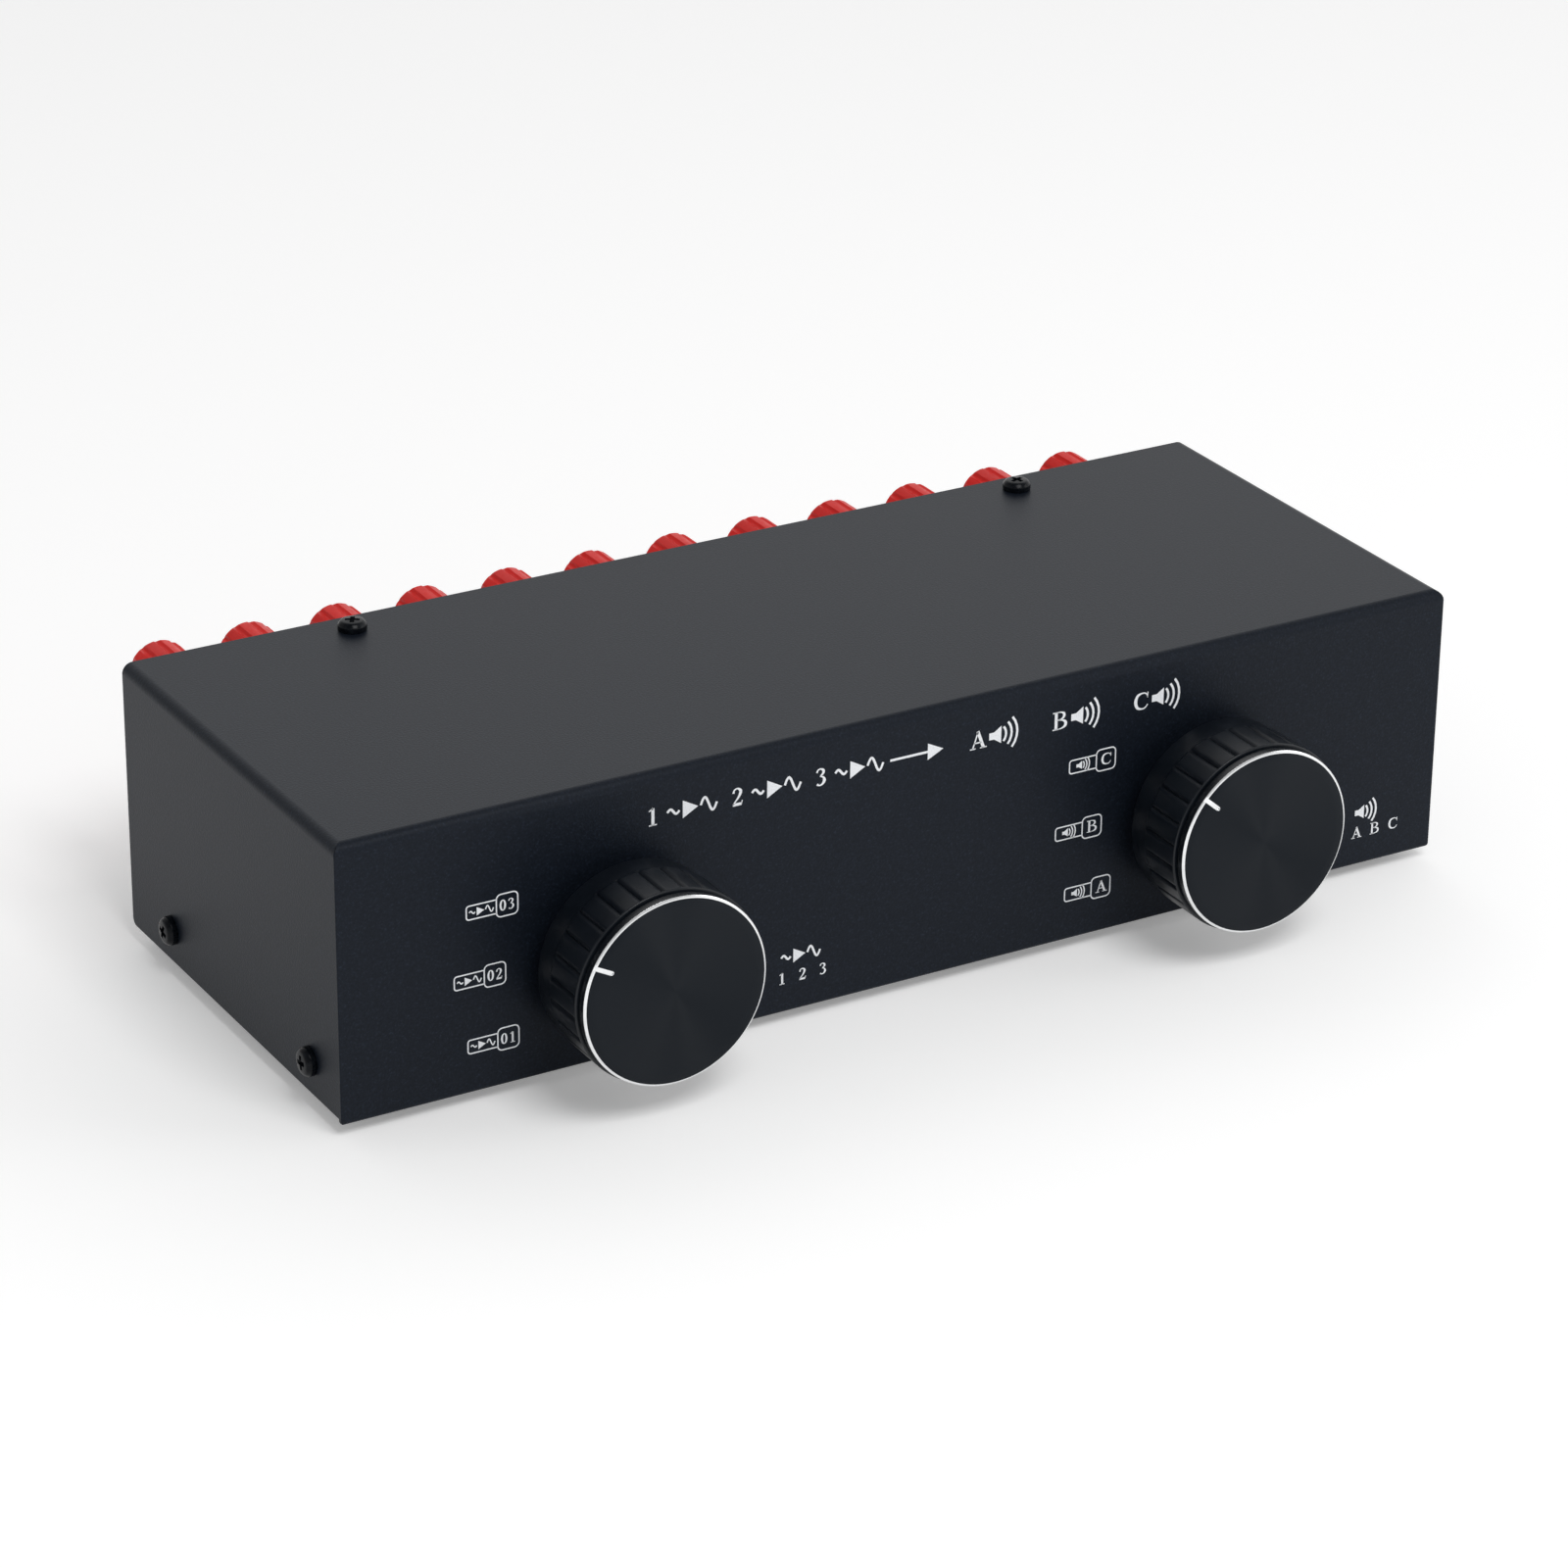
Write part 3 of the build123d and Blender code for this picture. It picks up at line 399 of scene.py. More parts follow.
rod_radius = 2.5
rod_end = -9.2
rod_chamfer = 0.3
stud_columns = 36
stud_outline = [
    (0, rod_end), (rod_radius - rod_chamfer, rod_end), (rod_radius, rod_end + rod_chamfer)]
stud_outline += softened([
    (rod_radius, base_height), (collar_radius, base_height, 0.2),
    (collar_radius, collar_end, 0.3), (tube_radius, collar_end)])
steps_per_pitch = 6
thread_steps = round((thread_end - collar_end) / thread_pitch * steps_per_pitch)
stud_outline += [
    (tube_radius, collar_end + (thread_end - collar_end) * step / thread_steps)
    for step in range(1, thread_steps + 1)]
stud_outline += softened([
    (tube_radius, thread_end), (tube_radius, tube_end, 0.25), (socket_radius, tube_end, 0.25),
    (socket_radius, socket_floor), (0, socket_floor)])[1:]
stud_mesh = turned("post_stud", stud_outline, stud_columns, threaded)

for colour, row_z in rows.items():
    for column, post_x in enumerate(post_xs, start=1):
        spot = (post_x, panel_y, row_z)
        base = placed(
            f"{colour}_base_{column:02d}", base_meshes[colour], spot, facing_rear,
            post_plastics[colour])
        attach(base, "cabinet")
        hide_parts(f"{colour}_post_bases")
        stud = placed(f"{colour}_stud_{column:02d}", stud_mesh, spot, facing_rear, stud_plating)
        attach(stud, "cabinet")
        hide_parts("post_studs")


def pressed_fibre():
    """Black vulcanised fibre: dull and slightly hairy."""
    finish, tree, shader, place = new_finish("pressed_fibre", (0.02, 0.02, 0.02), 0.75)
    hairs = grain(tree, stretched(tree, place, (1, 5, 1)), 0.0012, 5.0)
    tint(tree, shader, hairs, ((0.35, (0.012, 0.012, 0.012)), (0.7, (0.05, 0.048, 0.045))))
    emboss(tree, shader, hairs, 0.00003, 0.5)
    return finish


finish_node("post_washers", pressed_fibre())
finish_node("solder_tags", silvered)
finish_node("post_nuts", bright_steel)

# ------------------------------------------------------------------ hook-up wires
# PVC covered wires from the tags to the switches: red from the upper row of
# posts, black from the lower row, and four links between the switches.
row_split = middle_of("amp_shaft").z * mm
split_half = 0.0001


def insulation(name, below, above):
    """PVC insulation, whose colour changes at the height between the rows."""
    finish, tree, shader, place = new_finish(name, above, 0.35)
    apart = tree.nodes.new("ShaderNodeSeparateXYZ")
    tree.links.new(place, apart.inputs["Vector"])
    side = shift(tree, apart.outputs["Z"], row_split - split_half, row_split + split_half, 0, 1)
    tint(tree, shader, side, ((0.0, below), (1.0, above)))
    emboss(tree, shader, grain(tree, place, 0.0008, 3.0), 0.00002, 0.4)
    return finish


wire_finish = insulation("wire_insulation", (0.012, 0.012, 0.013), (0.5, 0.02, 0.018))
for node in ("amp_wires", "speaker_wires"):
    finish_node(node, wire_finish)
finish_node("link_wires", insulation("link_insulation", (0.02, 0.09, 0.35), (0.62, 0.6, 0.55)))

# ------------------------------------------------------------------ cover
# The cover is one folded steel sheet: top, front panel and two side flaps. Its
# front corners are filled and coated over, so they show as one fine edge.
finish_node("cover", powder_coat("cover_powder_coat", coat_dark, coat_light))
front_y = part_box("cover")[0].y / mm
panel_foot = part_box("cover")[0].z / mm

# ------------------------------------------------------------------ printing
# Pale ink screened on the coat: a marked tag for each position of a knob, a
# line of signs along the top, and a sign for what each knob switches.
ink_height = 0.03
facing_front = (90, 0, 0)


def screen_ink():
    """Off-white epoxy ink: a little uneven where the coat's grain shows through."""
    finish, tree, shader, place = new_finish("screen_ink", (0.9, 0.92, 0.95), 0.6, specular=0.25)
    cover_up = grain(tree, place, 0.0003, 3.0)
    tint(tree, shader, cover_up, ((0.25, (0.74, 0.76, 0.79)), (0.5, (0.9, 0.92, 0.95))))
    return finish


ink = screen_ink()


def smooth_path(points, closed, steps=5):
    """Points of a smooth curve through (x, y, width) points."""
    count = len(points)
    path = []
    for index in range(count if closed else count - 1):
        around = []
        for near in range(index - 1, index + 3):
            around.append(points[near % count if closed else min(max(near, 0), count - 1)])
        for step in range(steps):
            t = step / steps
            path.append(tuple(
                0.5 * (2 * b + (c - a) * t + (2 * a - 5 * b + 4 * c - d) * t * t
                       + (3 * b - a - 3 * c + d) * t ** 3)
                for a, b, c, d in zip(*around)))
    if not closed:
        path.append(points[-1])
    return path


def pen_stroke(sheet, points, closed=False, smooth=True):
    """Stroke of ink through (x, y, width) points in millimetres, added to a bmesh."""
    path = smooth_path(points, closed) if smooth and len(points) > 2 else list(points)
    count = len(path)
    sections = []
    for index, (x, y, width) in enumerate(path):
        ahead = path[(index + 1) % count] if closed else path[min(index + 1, count - 1)]
        behind = path[index - 1] if closed else path[max(index - 1, 0)]
        along = Vector((ahead[0] - behind[0], ahead[1] - behind[1])).normalized()
        across = Vector((-along.y, along.x)) * width / 2
        section = []
        for side, level in ((1, 0), (1, ink_height), (-1, ink_height), (-1, 0)):
            spot = (x + side * across.x, y + side * across.y, level)
            section.append(sheet.verts.new(Vector(spot) * mm))
        sections.append(section)
    pairs = list(zip(sections, sections[1:]))
    if closed:
        pairs.append((sections[-1], sections[0]))
    else:
        sheet.faces.new(sections[0])
        sheet.faces.new(list(reversed(sections[-1])))
    for one, other in pairs:
        for side in range(4):
            following = (side + 1) % 4
            sheet.faces.new((one[side], other[side], other[following], one[following]))


def patch(sheet, corners):
    """Filled area of ink with those (x, y) corners in millimetres."""
    low = [sheet.verts.new(Vector((x, y, 0)) * mm) for x, y in corners]
    high = [sheet.verts.new(Vector((x, y, ink_height)) * mm) for x, y in corners]
    sheet.faces.new(list(reversed(low)))
    sheet.faces.new(high)
    for index in range(len(corners)):
        following = (index + 1) % len(corners)
        sheet.faces.new((low[index], low[following], high[following], high[index]))


# Serif figures and letters as pen strokes in a box one unit high: a straight
# "line", a smooth "bend" or a closed smooth "loop" through (x, y, width) points.
figures = {
    "0": [("loop", [(0.07, 0.5, 0.17), (0.13, 0.82, 0.14), (0.27, 0.93, 0.08),
                    (0.41, 0.82, 0.14), (0.47, 0.5, 0.17), (0.41, 0.18, 0.14),
                    (0.27, 0.07, 0.08), (0.13, 0.18, 0.14)])],
    "1": [("line", [(0.3, 0.02, 0.17), (0.3, 0.93, 0.17)]),
          ("line", [(0.1, 0.79, 0.05), (0.31, 0.93, 0.1)]),
          ("line", [(0.1, 0.03, 0.06), (0.5, 0.03, 0.06)])],
    "2": [("bend", [(0.08, 0.7, 0.13), (0.12, 0.86, 0.09), (0.27, 0.93, 0.08),
                    (0.43, 0.82, 0.15), (0.43, 0.65, 0.16), (0.33, 0.44, 0.11),
                    (0.2, 0.27, 0.08), (0.07, 0.1, 0.07)]),
          ("line", [(0.05, 0.08, 0.15), (0.5, 0.08, 0.15)]),
          ("line", [(0.49, 0.06, 0.05), (0.53, 0.26, 0.05)])],
    "3": [("bend", [(0.07, 0.76, 0.1), (0.13, 0.89, 0.08), (0.26, 0.93, 0.07),
                    (0.4, 0.84, 0.14), (0.4, 0.68, 0.13), (0.25, 0.55, 0.06)]),
          ("bend", [(0.23, 0.54, 0.06), (0.4, 0.46, 0.1), (0.46, 0.28, 0.17),
                    (0.37, 0.11, 0.12), (0.22, 0.05, 0.07), (0.08, 0.13, 0.13)])],
    "A": [("line", [(0.13, 0.03, 0.07), (0.38, 0.93, 0.08)]),
          ("line", [(0.36, 0.96, 0.17), (0.64, 0.03, 0.18)]),
          ("line", [(0.2, 0.33, 0.07), (0.54, 0.33, 0.07)]),
          ("line", [(0.01, 0.03, 0.06), (0.27, 0.03, 0.06)]),
          ("line", [(0.48, 0.03, 0.06), (0.8, 0.03, 0.06)])],
    "B": [("line", [(0.18, 0.02, 0.17), (0.18, 0.97, 0.17)]),
          ("line", [(0.02, 0.96, 0.06), (0.34, 0.96, 0.06)]),
          ("line", [(0.02, 0.03, 0.06), (0.34, 0.03, 0.06)]),
          ("bend", [(0.3, 0.96, 0.06), (0.44, 0.93, 0.08), (0.55, 0.84, 0.14),
                    (0.55, 0.68, 0.14), (0.43, 0.56, 0.08), (0.22, 0.53, 0.06)]),
          ("bend", [(0.3, 0.53, 0.06), (0.5, 0.48, 0.09), (0.63, 0.36, 0.16),
                    (0.62, 0.17, 0.16), (0.47, 0.06, 0.08), (0.3, 0.03, 0.06)])],
    "C": [("bend", [(0.69, 0.66, 0.05), (0.62, 0.86, 0.07), (0.44, 0.93, 0.08),
                    (0.2, 0.83, 0.15), (0.11, 0.5, 0.19), (0.2, 0.17, 0.15),
                    (0.44, 0.06, 0.08), (0.6, 0.12, 0.07), (0.7, 0.28, 0.05)]),
          ("line", [(0.69, 0.64, 0.05), (0.69, 0.96, 0.05)])],
}


def write_figures(sheet, text, left, foot, height, spacing, stretch):
    """Serif figures from a left edge, in millimetres; stretch widens each of them."""
    for place, figure in enumerate(text):
        for kind, points in figures[figure]:
            stroke = []
            for x, y, width in points:
                across = left + (x * stretch + place * spacing) * height
                stroke.append((across, foot + y * height, width * height))
            pen_stroke(sheet, stroke, closed=kind == "loop", smooth=kind != "line")


def arc_points(centre, radius, start, end, line, steps):
    """Pen points on an arc between two angles in degrees."""
    points = []
    for step in range(steps + 1):
        angle = radians(start + (end - start) * step / steps)
        points.append((centre[0] + radius * cos(angle), centre[1] + radius * sin(angle), line))
    return points


def frame_line(sheet, left, foot, width, height, corner, line):
    """Outline of a box with rounded corners."""
    outline = []
    for turn, (x, y) in enumerate(((1, 1), (0, 1), (0, 0), (1, 0))):
        centre = (
            left + corner + x * (width - 2 * corner), foot + corner + y * (height - 2 * corner))
        outline += arc_points(centre, corner, 90 * turn, 90 * turn + 90, line, 4)
    pen_stroke(sheet, outline, closed=True, smooth=False)


def sound_wave(sheet, left, middle, length, height, line, steps=8):
    """One cycle of a wave."""
    points = []
    for step in range(steps + 1):
        rise = height / 2 * sin(2 * pi * step / steps)
        points.append((left + length * step / steps, middle + rise, line))
    pen_stroke(sheet, points)


def amplifier_sign(sheet, left, foot, size, line):
    """A small wave, the triangle that stands for an amplifier, and a large wave."""
    middle = foot + size / 2
    back, tip = left + 0.9 * size, left + 1.8 * size
    sound_wave(sheet, left, middle, 0.7 * size, 0.3 * size, line)
    patch(sheet, [(back, foot), (tip, middle), (back, foot + size)])
    sound_wave(sheet, left + 1.95 * size, middle, 0.95 * size, 0.8 * size, line)


def speaker_sign(sheet, left, foot, size, line):
    """The usual sign of a loudspeaker: a box with a horn, and three sound waves."""
    middle = foot + size / 2
    box_half = 0.2 * size
    throat, mouth = left + 0.3 * size, left + 0.75 * size
    patch(sheet, [
        (left, middle - box_half), (throat, middle - box_half), (mouth, foot),
        (mouth, foot + size), (throat, middle + box_half), (left, middle + box_half)])
    source = (left + 0.4 * size, middle)
    for reach in (0.65, 1.0, 1.35):
        pen_stroke(sheet, arc_points(source, reach * size, -40, 40, line, 6), smooth=False)


def long_arrow(sheet, left, right, middle, line):
    """Arrow to the right with a filled head."""
    head = 7 * line
    neck = right - head
    pen_stroke(sheet, [(left, middle, line), (neck, middle, line)])
    patch(sheet, [(neck, middle - head / 2), (right, middle), (neck, middle + head / 2)])


def printed(name, sheet, spot, turn):
    """Piece of ink from a bmesh, riding on the cabinet."""
    bmesh.ops.recalc_face_normals(sheet, faces=sheet.faces)
    mesh = bpy.data.meshes.new(name)
    sheet.to_mesh(mesh)
    sheet.free()
    piece = placed(name, mesh, spot, turn, ink)
    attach(piece, "cabinet")
    return piece


# A tag is a low box with the sign and a taller box with the figure. Its mark is
# (text, left, foot); a figure's look is (height, spacing, stretch, whole width).
signs = {"amp": amplifier_sign, "speaker": speaker_sign}
sign_widths = {"amp": 2.9, "speaker": 1.75}
tag_line = 0.27
tag_height = 4.65
tag_corner = 0.95
tag_box_width = 4.5
tag_left_width = 6.3
tag_left_foot = 0.9
tag_left_height = 2.85
tag_left_corner = 0.55
tag_sign_height = 1.75
tag_sign_pen = 0.26
tag_figure_foot = 1.12
tag_marks = {
    "amp": [("03", -98.3, 35.65), ("02", -101.05, 21.6), ("01", -98.4, 7.6)],
    "speaker": [("C", 35.0, 35.8), ("B", 32.2, 21.7), ("A", 34.85, 7.75)],
}
figure_looks = {"amp": (2.4, 0.72, 1.0, 3.1), "speaker": (2.62, 0.0, 1.3, 2.4)}
for selector, marks in tag_marks.items():
    sheet = bmesh.new()
    figure_height, figure_spacing, figure_stretch, figures_width = figure_looks[selector]
    for text, left, foot in marks:
        foot += panel_foot
        box_left = left + tag_left_width
        frame_line(sheet, box_left, foot, tag_box_width, tag_height, tag_corner, tag_line)
        left_foot = foot + tag_left_foot
        left_top = left_foot + tag_left_height
        open_box = [(box_left, left_top, tag_line)]
        bend_x = left + tag_left_corner
        for bend_y, start in ((left_top - tag_left_corner, 90), (left_foot + tag_left_corner, 180)):
            open_box += arc_points(
                (bend_x, bend_y), tag_left_corner, start, start + 90, tag_line, 4)
        open_box.append((box_left, left_foot, tag_line))
        pen_stroke(sheet, open_box, smooth=False)
        sign_left = left + (tag_left_width - sign_widths[selector] * tag_sign_height) / 2
        sign_foot = left_foot + (tag_left_height - tag_sign_height) / 2
        signs[selector](sheet, sign_left, sign_foot, tag_sign_height, tag_sign_pen)
        figures_left = box_left + (tag_box_width - figures_width) / 2
        write_figures(
            sheet, text, figures_left, foot + tag_figure_foot, figure_height, figure_spacing,
            figure_stretch)
    printed(f"{selector}_tags", sheet, (0, front_y, 0), facing_front)

# A line of signs along the top: three sources, an arrow, three pairs of
# loudspeakers. Beside each knob stand the sign and marks of what it selects.
legend_foot = 47.0 + panel_foot
legend_height = 3.9
legend_pen = 0.5
legend_sign_shift = 4.4
legend_sign_foot = legend_foot + 0.1
legend_sign_size = 3.7
arrow_left = -6.5
arrow_right = 5.5
arrow_middle = legend_foot + 1.9
legend_halves = (("amp", "123", -60.0, 18.4, 1.1), ("speaker", "ABC", 11.6, 19.0, 1.25))
sheet = bmesh.new()
for selector, marks, left, step, stretch in legend_halves:
    for number, mark in enumerate(marks):
        mark_left = left + number * step
        sign_left = mark_left + legend_sign_shift
        write_figures(sheet, mark, mark_left, legend_foot, legend_height, 0, stretch)
        signs[selector](sheet, sign_left, legend_sign_foot, legend_sign_size, legend_pen)
long_arrow(sheet, arrow_left, arrow_right, arrow_middle, legend_pen)
printed("top_legend", sheet, (0, front_y, 0), facing_front)

caption_foot = 6.3 + panel_foot
caption_height = 2.6
caption_step = 4.6
caption_pen = 0.45
caption_sign_shift = 0.6
caption_sign_foot = 10.5 + panel_foot
caption_sign_size = 3.0
for selector, marks, left, stretch in (("amp", "123", -31.0, 1.1), ("speaker", "ABC", 105.0, 1.25)):
    sheet = bmesh.new()
    sign_left = left + caption_sign_shift
    signs[selector](sheet, sign_left, caption_sign_foot, caption_sign_size, caption_pen)
    for number, mark in enumerate(marks):
        mark_left = left + caption_step * number
        write_figures(sheet, mark, mark_left, caption_foot, caption_height, 0, stretch)
    printed(f"{selector}_caption", sheet, (0, front_y, 0), facing_front)

# ------------------------------------------------------------------ cover screws
# Six M3 pan heads with a cross recess, blacked. They hold the cover to the
# tray: two through the top near the rear, two through each side.


def blacked_steel():
    """Black oxide on steel: satin, worn a little paler where the driver rubs."""
    finish, tree, shader, place = new_finish(
        "blacked_steel", (0.002, 0.003, 0.005), 0.24, specular=0.14)
    rub = grain(tree, place, 0.0011, 4.0)
    tint(tree, shader, rub, ((0.4, (0.002, 0.003, 0.005)), (0.75, (0.007, 0.009, 0.012))))
    tree.links.new(shift(tree, rub, 0.3, 0.7, 0.18, 0.32), shader.inputs["Roughness"])
    emboss(tree, shader, grain(tree, place, 0.0003), 0.00001, 0.5)
    return finish


def cut_out(piece, cutter):
    """Piece's new mesh, with the cutter's shape taken out of it."""
    bite = piece.modifiers.new("bite", "BOOLEAN")
    bite.operation = "DIFFERENCE"
    bite.solver = "EXACT"
    bite.object = cutter
    bpy.context.view_layer.update()
    graph = bpy.context.evaluated_depsgraph_get()
    mesh = bpy.data.meshes.new_from_object(piece.evaluated_get(graph))
    piece.modifiers.clear()
    piece.data = mesh
    bpy.data.objects.remove(cutter)
    mesh.polygons.foreach_set("use_smooth", [True] * len(mesh.polygons))
    mesh.set_sharp_from_angle(angle=sharp_from)
    return mesh


screw_radius = 1.45
screw_end = -5.0
screw_chamfer = 0.3
head_radius = 2.95
head_height = 2.2
head_columns = 64
brim_radius = 2.97
brim_height = 1.15
crown_radius = 2.35
crown_height = 2.0
recess_floor_half = 0.3
recess_floor_reach = 0.7
recess_floor = 0.85
recess_top_half = 0.52
recess_top_reach = 1.75
recess_top = 2.5
head_outline = softened([
    (0, screw_end), (screw_radius - screw_chamfer, screw_end),
    (screw_radius, screw_end + screw_chamfer), (screw_radius, 0.0), (head_radius, 0.0, 0.12),
    (brim_radius, brim_height, 0.5), (crown_radius, crown_height, 0.9), (0, head_height)])
head_mesh = turned("screw_head", head_outline, head_columns)
head_blank = placed("screw_blank", head_mesh, (0, 0, 0), (0, 0, 0), blacked_steel())
recess_rings = [
    [(-reach, -half, level), (reach, -half, level), (reach, half, level), (-reach, half, level)]
    for reach, half, level in (
        (recess_floor_reach, recess_floor_half, recess_floor),
        (recess_top_reach, recess_top_half, recess_top))]
for turn in (0, 90):
    wing_mesh = block("recess_wing", *recess_rings)
    wing = placed("recess_wing", wing_mesh, (0, 0, 0), (0, 0, turn))
    head_mesh = cut_out(head_blank, wing)
bpy.data.objects.remove(head_blank)

low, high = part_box("cover")
top_screw_z = high.z / mm
side_x = high.x / mm
screws_low, screws_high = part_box("cover_screws")
side_screw_z = screws_low.z / mm + head_radius
front_screw_y = screws_low.y / mm + head_radius
top_screw_x = 78.0
top_screw_y = screws_high.y / mm - head_radius
rear_screw_setback = 75.6
rear_screw_y = low.y / mm + rear_screw_setback
screw_places = {
    "top_left": ((-top_screw_x, top_screw_y, top_screw_z), 0, 60),
    "top_right": ((top_screw_x, top_screw_y, top_screw_z), 0, 17),
    "left_front": ((-side_x, front_screw_y, side_screw_z), -90, 8),
    "left_rear": ((-side_x, rear_screw_y, side_screw_z), -90, 71),
    "right_front": ((side_x, front_screw_y, side_screw_z), 90, 52),
    "right_rear": ((side_x, rear_screw_y, side_screw_z), 90, 33),
}
for place, (spot, lean, turn) in screw_places.items():
    screw = placed(f"cover_screw_{place}", head_mesh, spot, (0, 0, 0))
    screw.matrix_world = (
        Matrix.Translation(Vector(spot) * mm)
        @ Matrix.Rotation(radians(lean), 4, "Y")
        @ Matrix.Rotation(radians(turn), 4, "Z"))
    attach(screw, "cabinet")
    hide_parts("cover_screws")

# ------------------------------------------------------------------ post caps
# Each post has a hand-tightened cap: a moulded thimble with twelve narrow
# grooves, a smooth collar at the panel end and a hole for a 4 mm plug.
cap_radius = 6.5
cap_start = 6.1
cap_end = 23.3
cap_bore = 3.05
cap_mouth = 2.7
cap_mouth_wall = 0.9
cap_outside = 5.0
cap_lobes = 12
cap_columns = cap_lobes * 14
cap_groove_depth = 0.5
cap_groove_half = 0.7
cap_groove_start = 8.5
cap_run_out = 0.5
cap_turns = (29, 8, 0, 9, 29, 14, 22, 19, 9, 19, 29, 11)


def from_groove(angle, count, radius):
    """Distance round a rim of that radius to the nearest of its evenly spaced grooves."""
    pitch = 2 * pi / count
    return abs((angle + pitch / 2) % pitch - pitch / 2) * radius


def lobed(angle, radius, height):
    """Radius of the cap's outside with its grooves."""
    if radius < cap_outside or height < cap_groove_start:
        return radius
    dip = max(0.0, 1 - (from_groove(angle, cap_lobes, cap_radius) / cap_groove_half) ** 2)
    ease = min(1.0, (height - cap_groove_start) / cap_run_out)
    return min(radius, cap_radius - cap_groove_depth * ease * dip)


cap_outline = softened([
    (cap_bore, cap_start), (cap_radius, cap_start, 0.25), (cap_radius, cap_groove_start - 0.01)])
cap_outline += [(cap_radius, cap_groove_start + part) for part in (0.0, 0.15, 0.3, cap_run_out)]
cap_outline += softened([
    (cap_radius, cap_groove_start + cap_run_out + 0.1), (cap_radius, cap_end, 1.25),
    (cap_mouth, cap_end, 0.2), (cap_mouth, cap_end - cap_mouth_wall),
    (cap_bore, cap_end - cap_mouth_wall)], steps=9)
for colour, row_z in rows.items():
    cap_mesh = turned(f"{colour}_cap", cap_outline, cap_columns, lobed, loop=True)
    for number, post_x in enumerate(post_xs, start=1):
        node = f"{colour}_cap_{number:02d}"
        spot = (post_x, panel_y, row_z)
        cap = placed(f"{node}_lobed", cap_mesh, spot, (0, 0, 0), post_plastics[colour])
        turn = radians(cap_turns[number - 1])
        cap.matrix_world = (
            Matrix.Translation(cap.location) @ Matrix.Rotation(pi, 4, "Z")
            @ Matrix.Rotation(pi / 2, 4, "X") @ Matrix.Rotation(turn, 4, "Z"))
        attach(cap, f"{node}_body")
        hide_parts(node)

# ------------------------------------------------------------------ knobs
# A large knob on each switch: a hollow black moulding with 27 grooves, and a
# spun aluminium face, black with a bright turned bevel and a milled pointer.
knob_radius = 20.0
knob_standoff = 5.0
skirt_radius = 19.6
skirt_end = 10.1
flute_start = 10.2
flute_end = 20.3
flute_count = 27
flute_columns = flute_count * 12
flute_depth = 0.55
flute_half = 0.5
flute_curve = 0.85
flute_run_out = 1.6
body_front = 20.7
seat_radius = 18.5
seat_depth = 0.8
cavity_radius = 17.4
cavity_end = 17.4
hub_radius = 5.5
hub_start = 6.0
shaft_bore = 3.05


def fluted(angle, radius, height):
    """Radius of the knob's outside with its grooves."""
    on_rim = radius > (skirt_radius + knob_radius) / 2
    if not on_rim or not flute_start < height < flute_end:
        return radius
    dip = max(0.0, 1 - from_groove(angle, flute_count, knob_radius) / flute_half)
    run_out = min(1.0, (height - skirt_end) / flute_run_out)
    groove_floor = skirt_radius + (knob_radius - flute_depth - skirt_radius) * run_out
    return max(radius - flute_depth * dip ** flute_curve, groove_floor)


def knob_moulding():
    """ABS moulding: satin black, with a fine spark-eroded texture."""
    finish, tree, shader, place = new_finish(
        "knob_moulding", (0.004, 0.006, 0.010), 0.34, specular=0.32)
    tone = grain(tree, place, 0.006, 3.0)
    tint(tree, shader, tone, ((0.3, (0.0034, 0.0052, 0.0084)), (0.7, (0.0056, 0.0084, 0.0130))))
    tree.links.new(shift(tree, tone, 0.3, 0.7, 0.3, 0.42), shader.inputs["Roughness"])
    emboss(tree, shader, grain(tree, place, 0.00022), 0.000014, 0.5)
    return finish


def spun_black():
    """Black anodised aluminium face: rings left by spinning, seen as a soft fan of light."""
    finish, tree, shader, place = new_finish(
        "spun_black", (0.0036, 0.0063, 0.0104), 0.5, specular=0.2)
    apart = tree.nodes.new("ShaderNodeSeparateXYZ")
    tree.links.new(place, apart.inputs["Vector"])
    flat = tree.nodes.new("ShaderNodeCombineXYZ")
    tree.links.new(apart.outputs["X"], flat.inputs["X"])
    tree.links.new(apart.outputs["Y"], flat.inputs["Y"])
    reach = tree.nodes.new("ShaderNodeVectorMath")
    reach.operation = "LENGTH"
    tree.links.new(flat.outputs["Vector"], reach.inputs[0])
    along = tree.nodes.new("ShaderNodeCombineXYZ")
    tree.links.new(reach.outputs["Value"], along.inputs["X"])
    rings = grain(tree, along.outputs["Vector"], 0.00011, 1.0)
    tint(tree, shader, rings, ((0.3, (0.0029, 0.0052, 0.0086)), (0.7, (0.0043, 0.0074, 0.0122))))
    emboss(tree, shader, rings, 0.00001, 0.6)
    shader.inputs["Anisotropic"].default_value = 0.85
    shader.inputs["Anisotropic Rotation"].default_value = 0.25
    tangent = tree.nodes.new("ShaderNodeTangent")
    tangent.direction_type = "RADIAL"
    tangent.axis = "Z"
    tree.links.new(tangent.outputs["Tangent"], shader.inputs["Tangent"])
    return finish


def bright_cut():
    """Diamond-cut aluminium: nearly mirror bright, with fine tool rings."""
    finish, tree, shader, place = new_finish("bright_cut", (0.86, 0.87, 0.88), 0.24, metallic=1.0)
    rings = grain(tree, stretched(tree, place, (0.05, 0.05, 1)), 0.0001, 1.0)
    tint(tree, shader, rings, ((0.3, (0.8, 0.81, 0.82)), (0.6, (0.9, 0.91, 0.92))))
    emboss(tree, shader, rings, 0.000004, 0.4)
    return finish


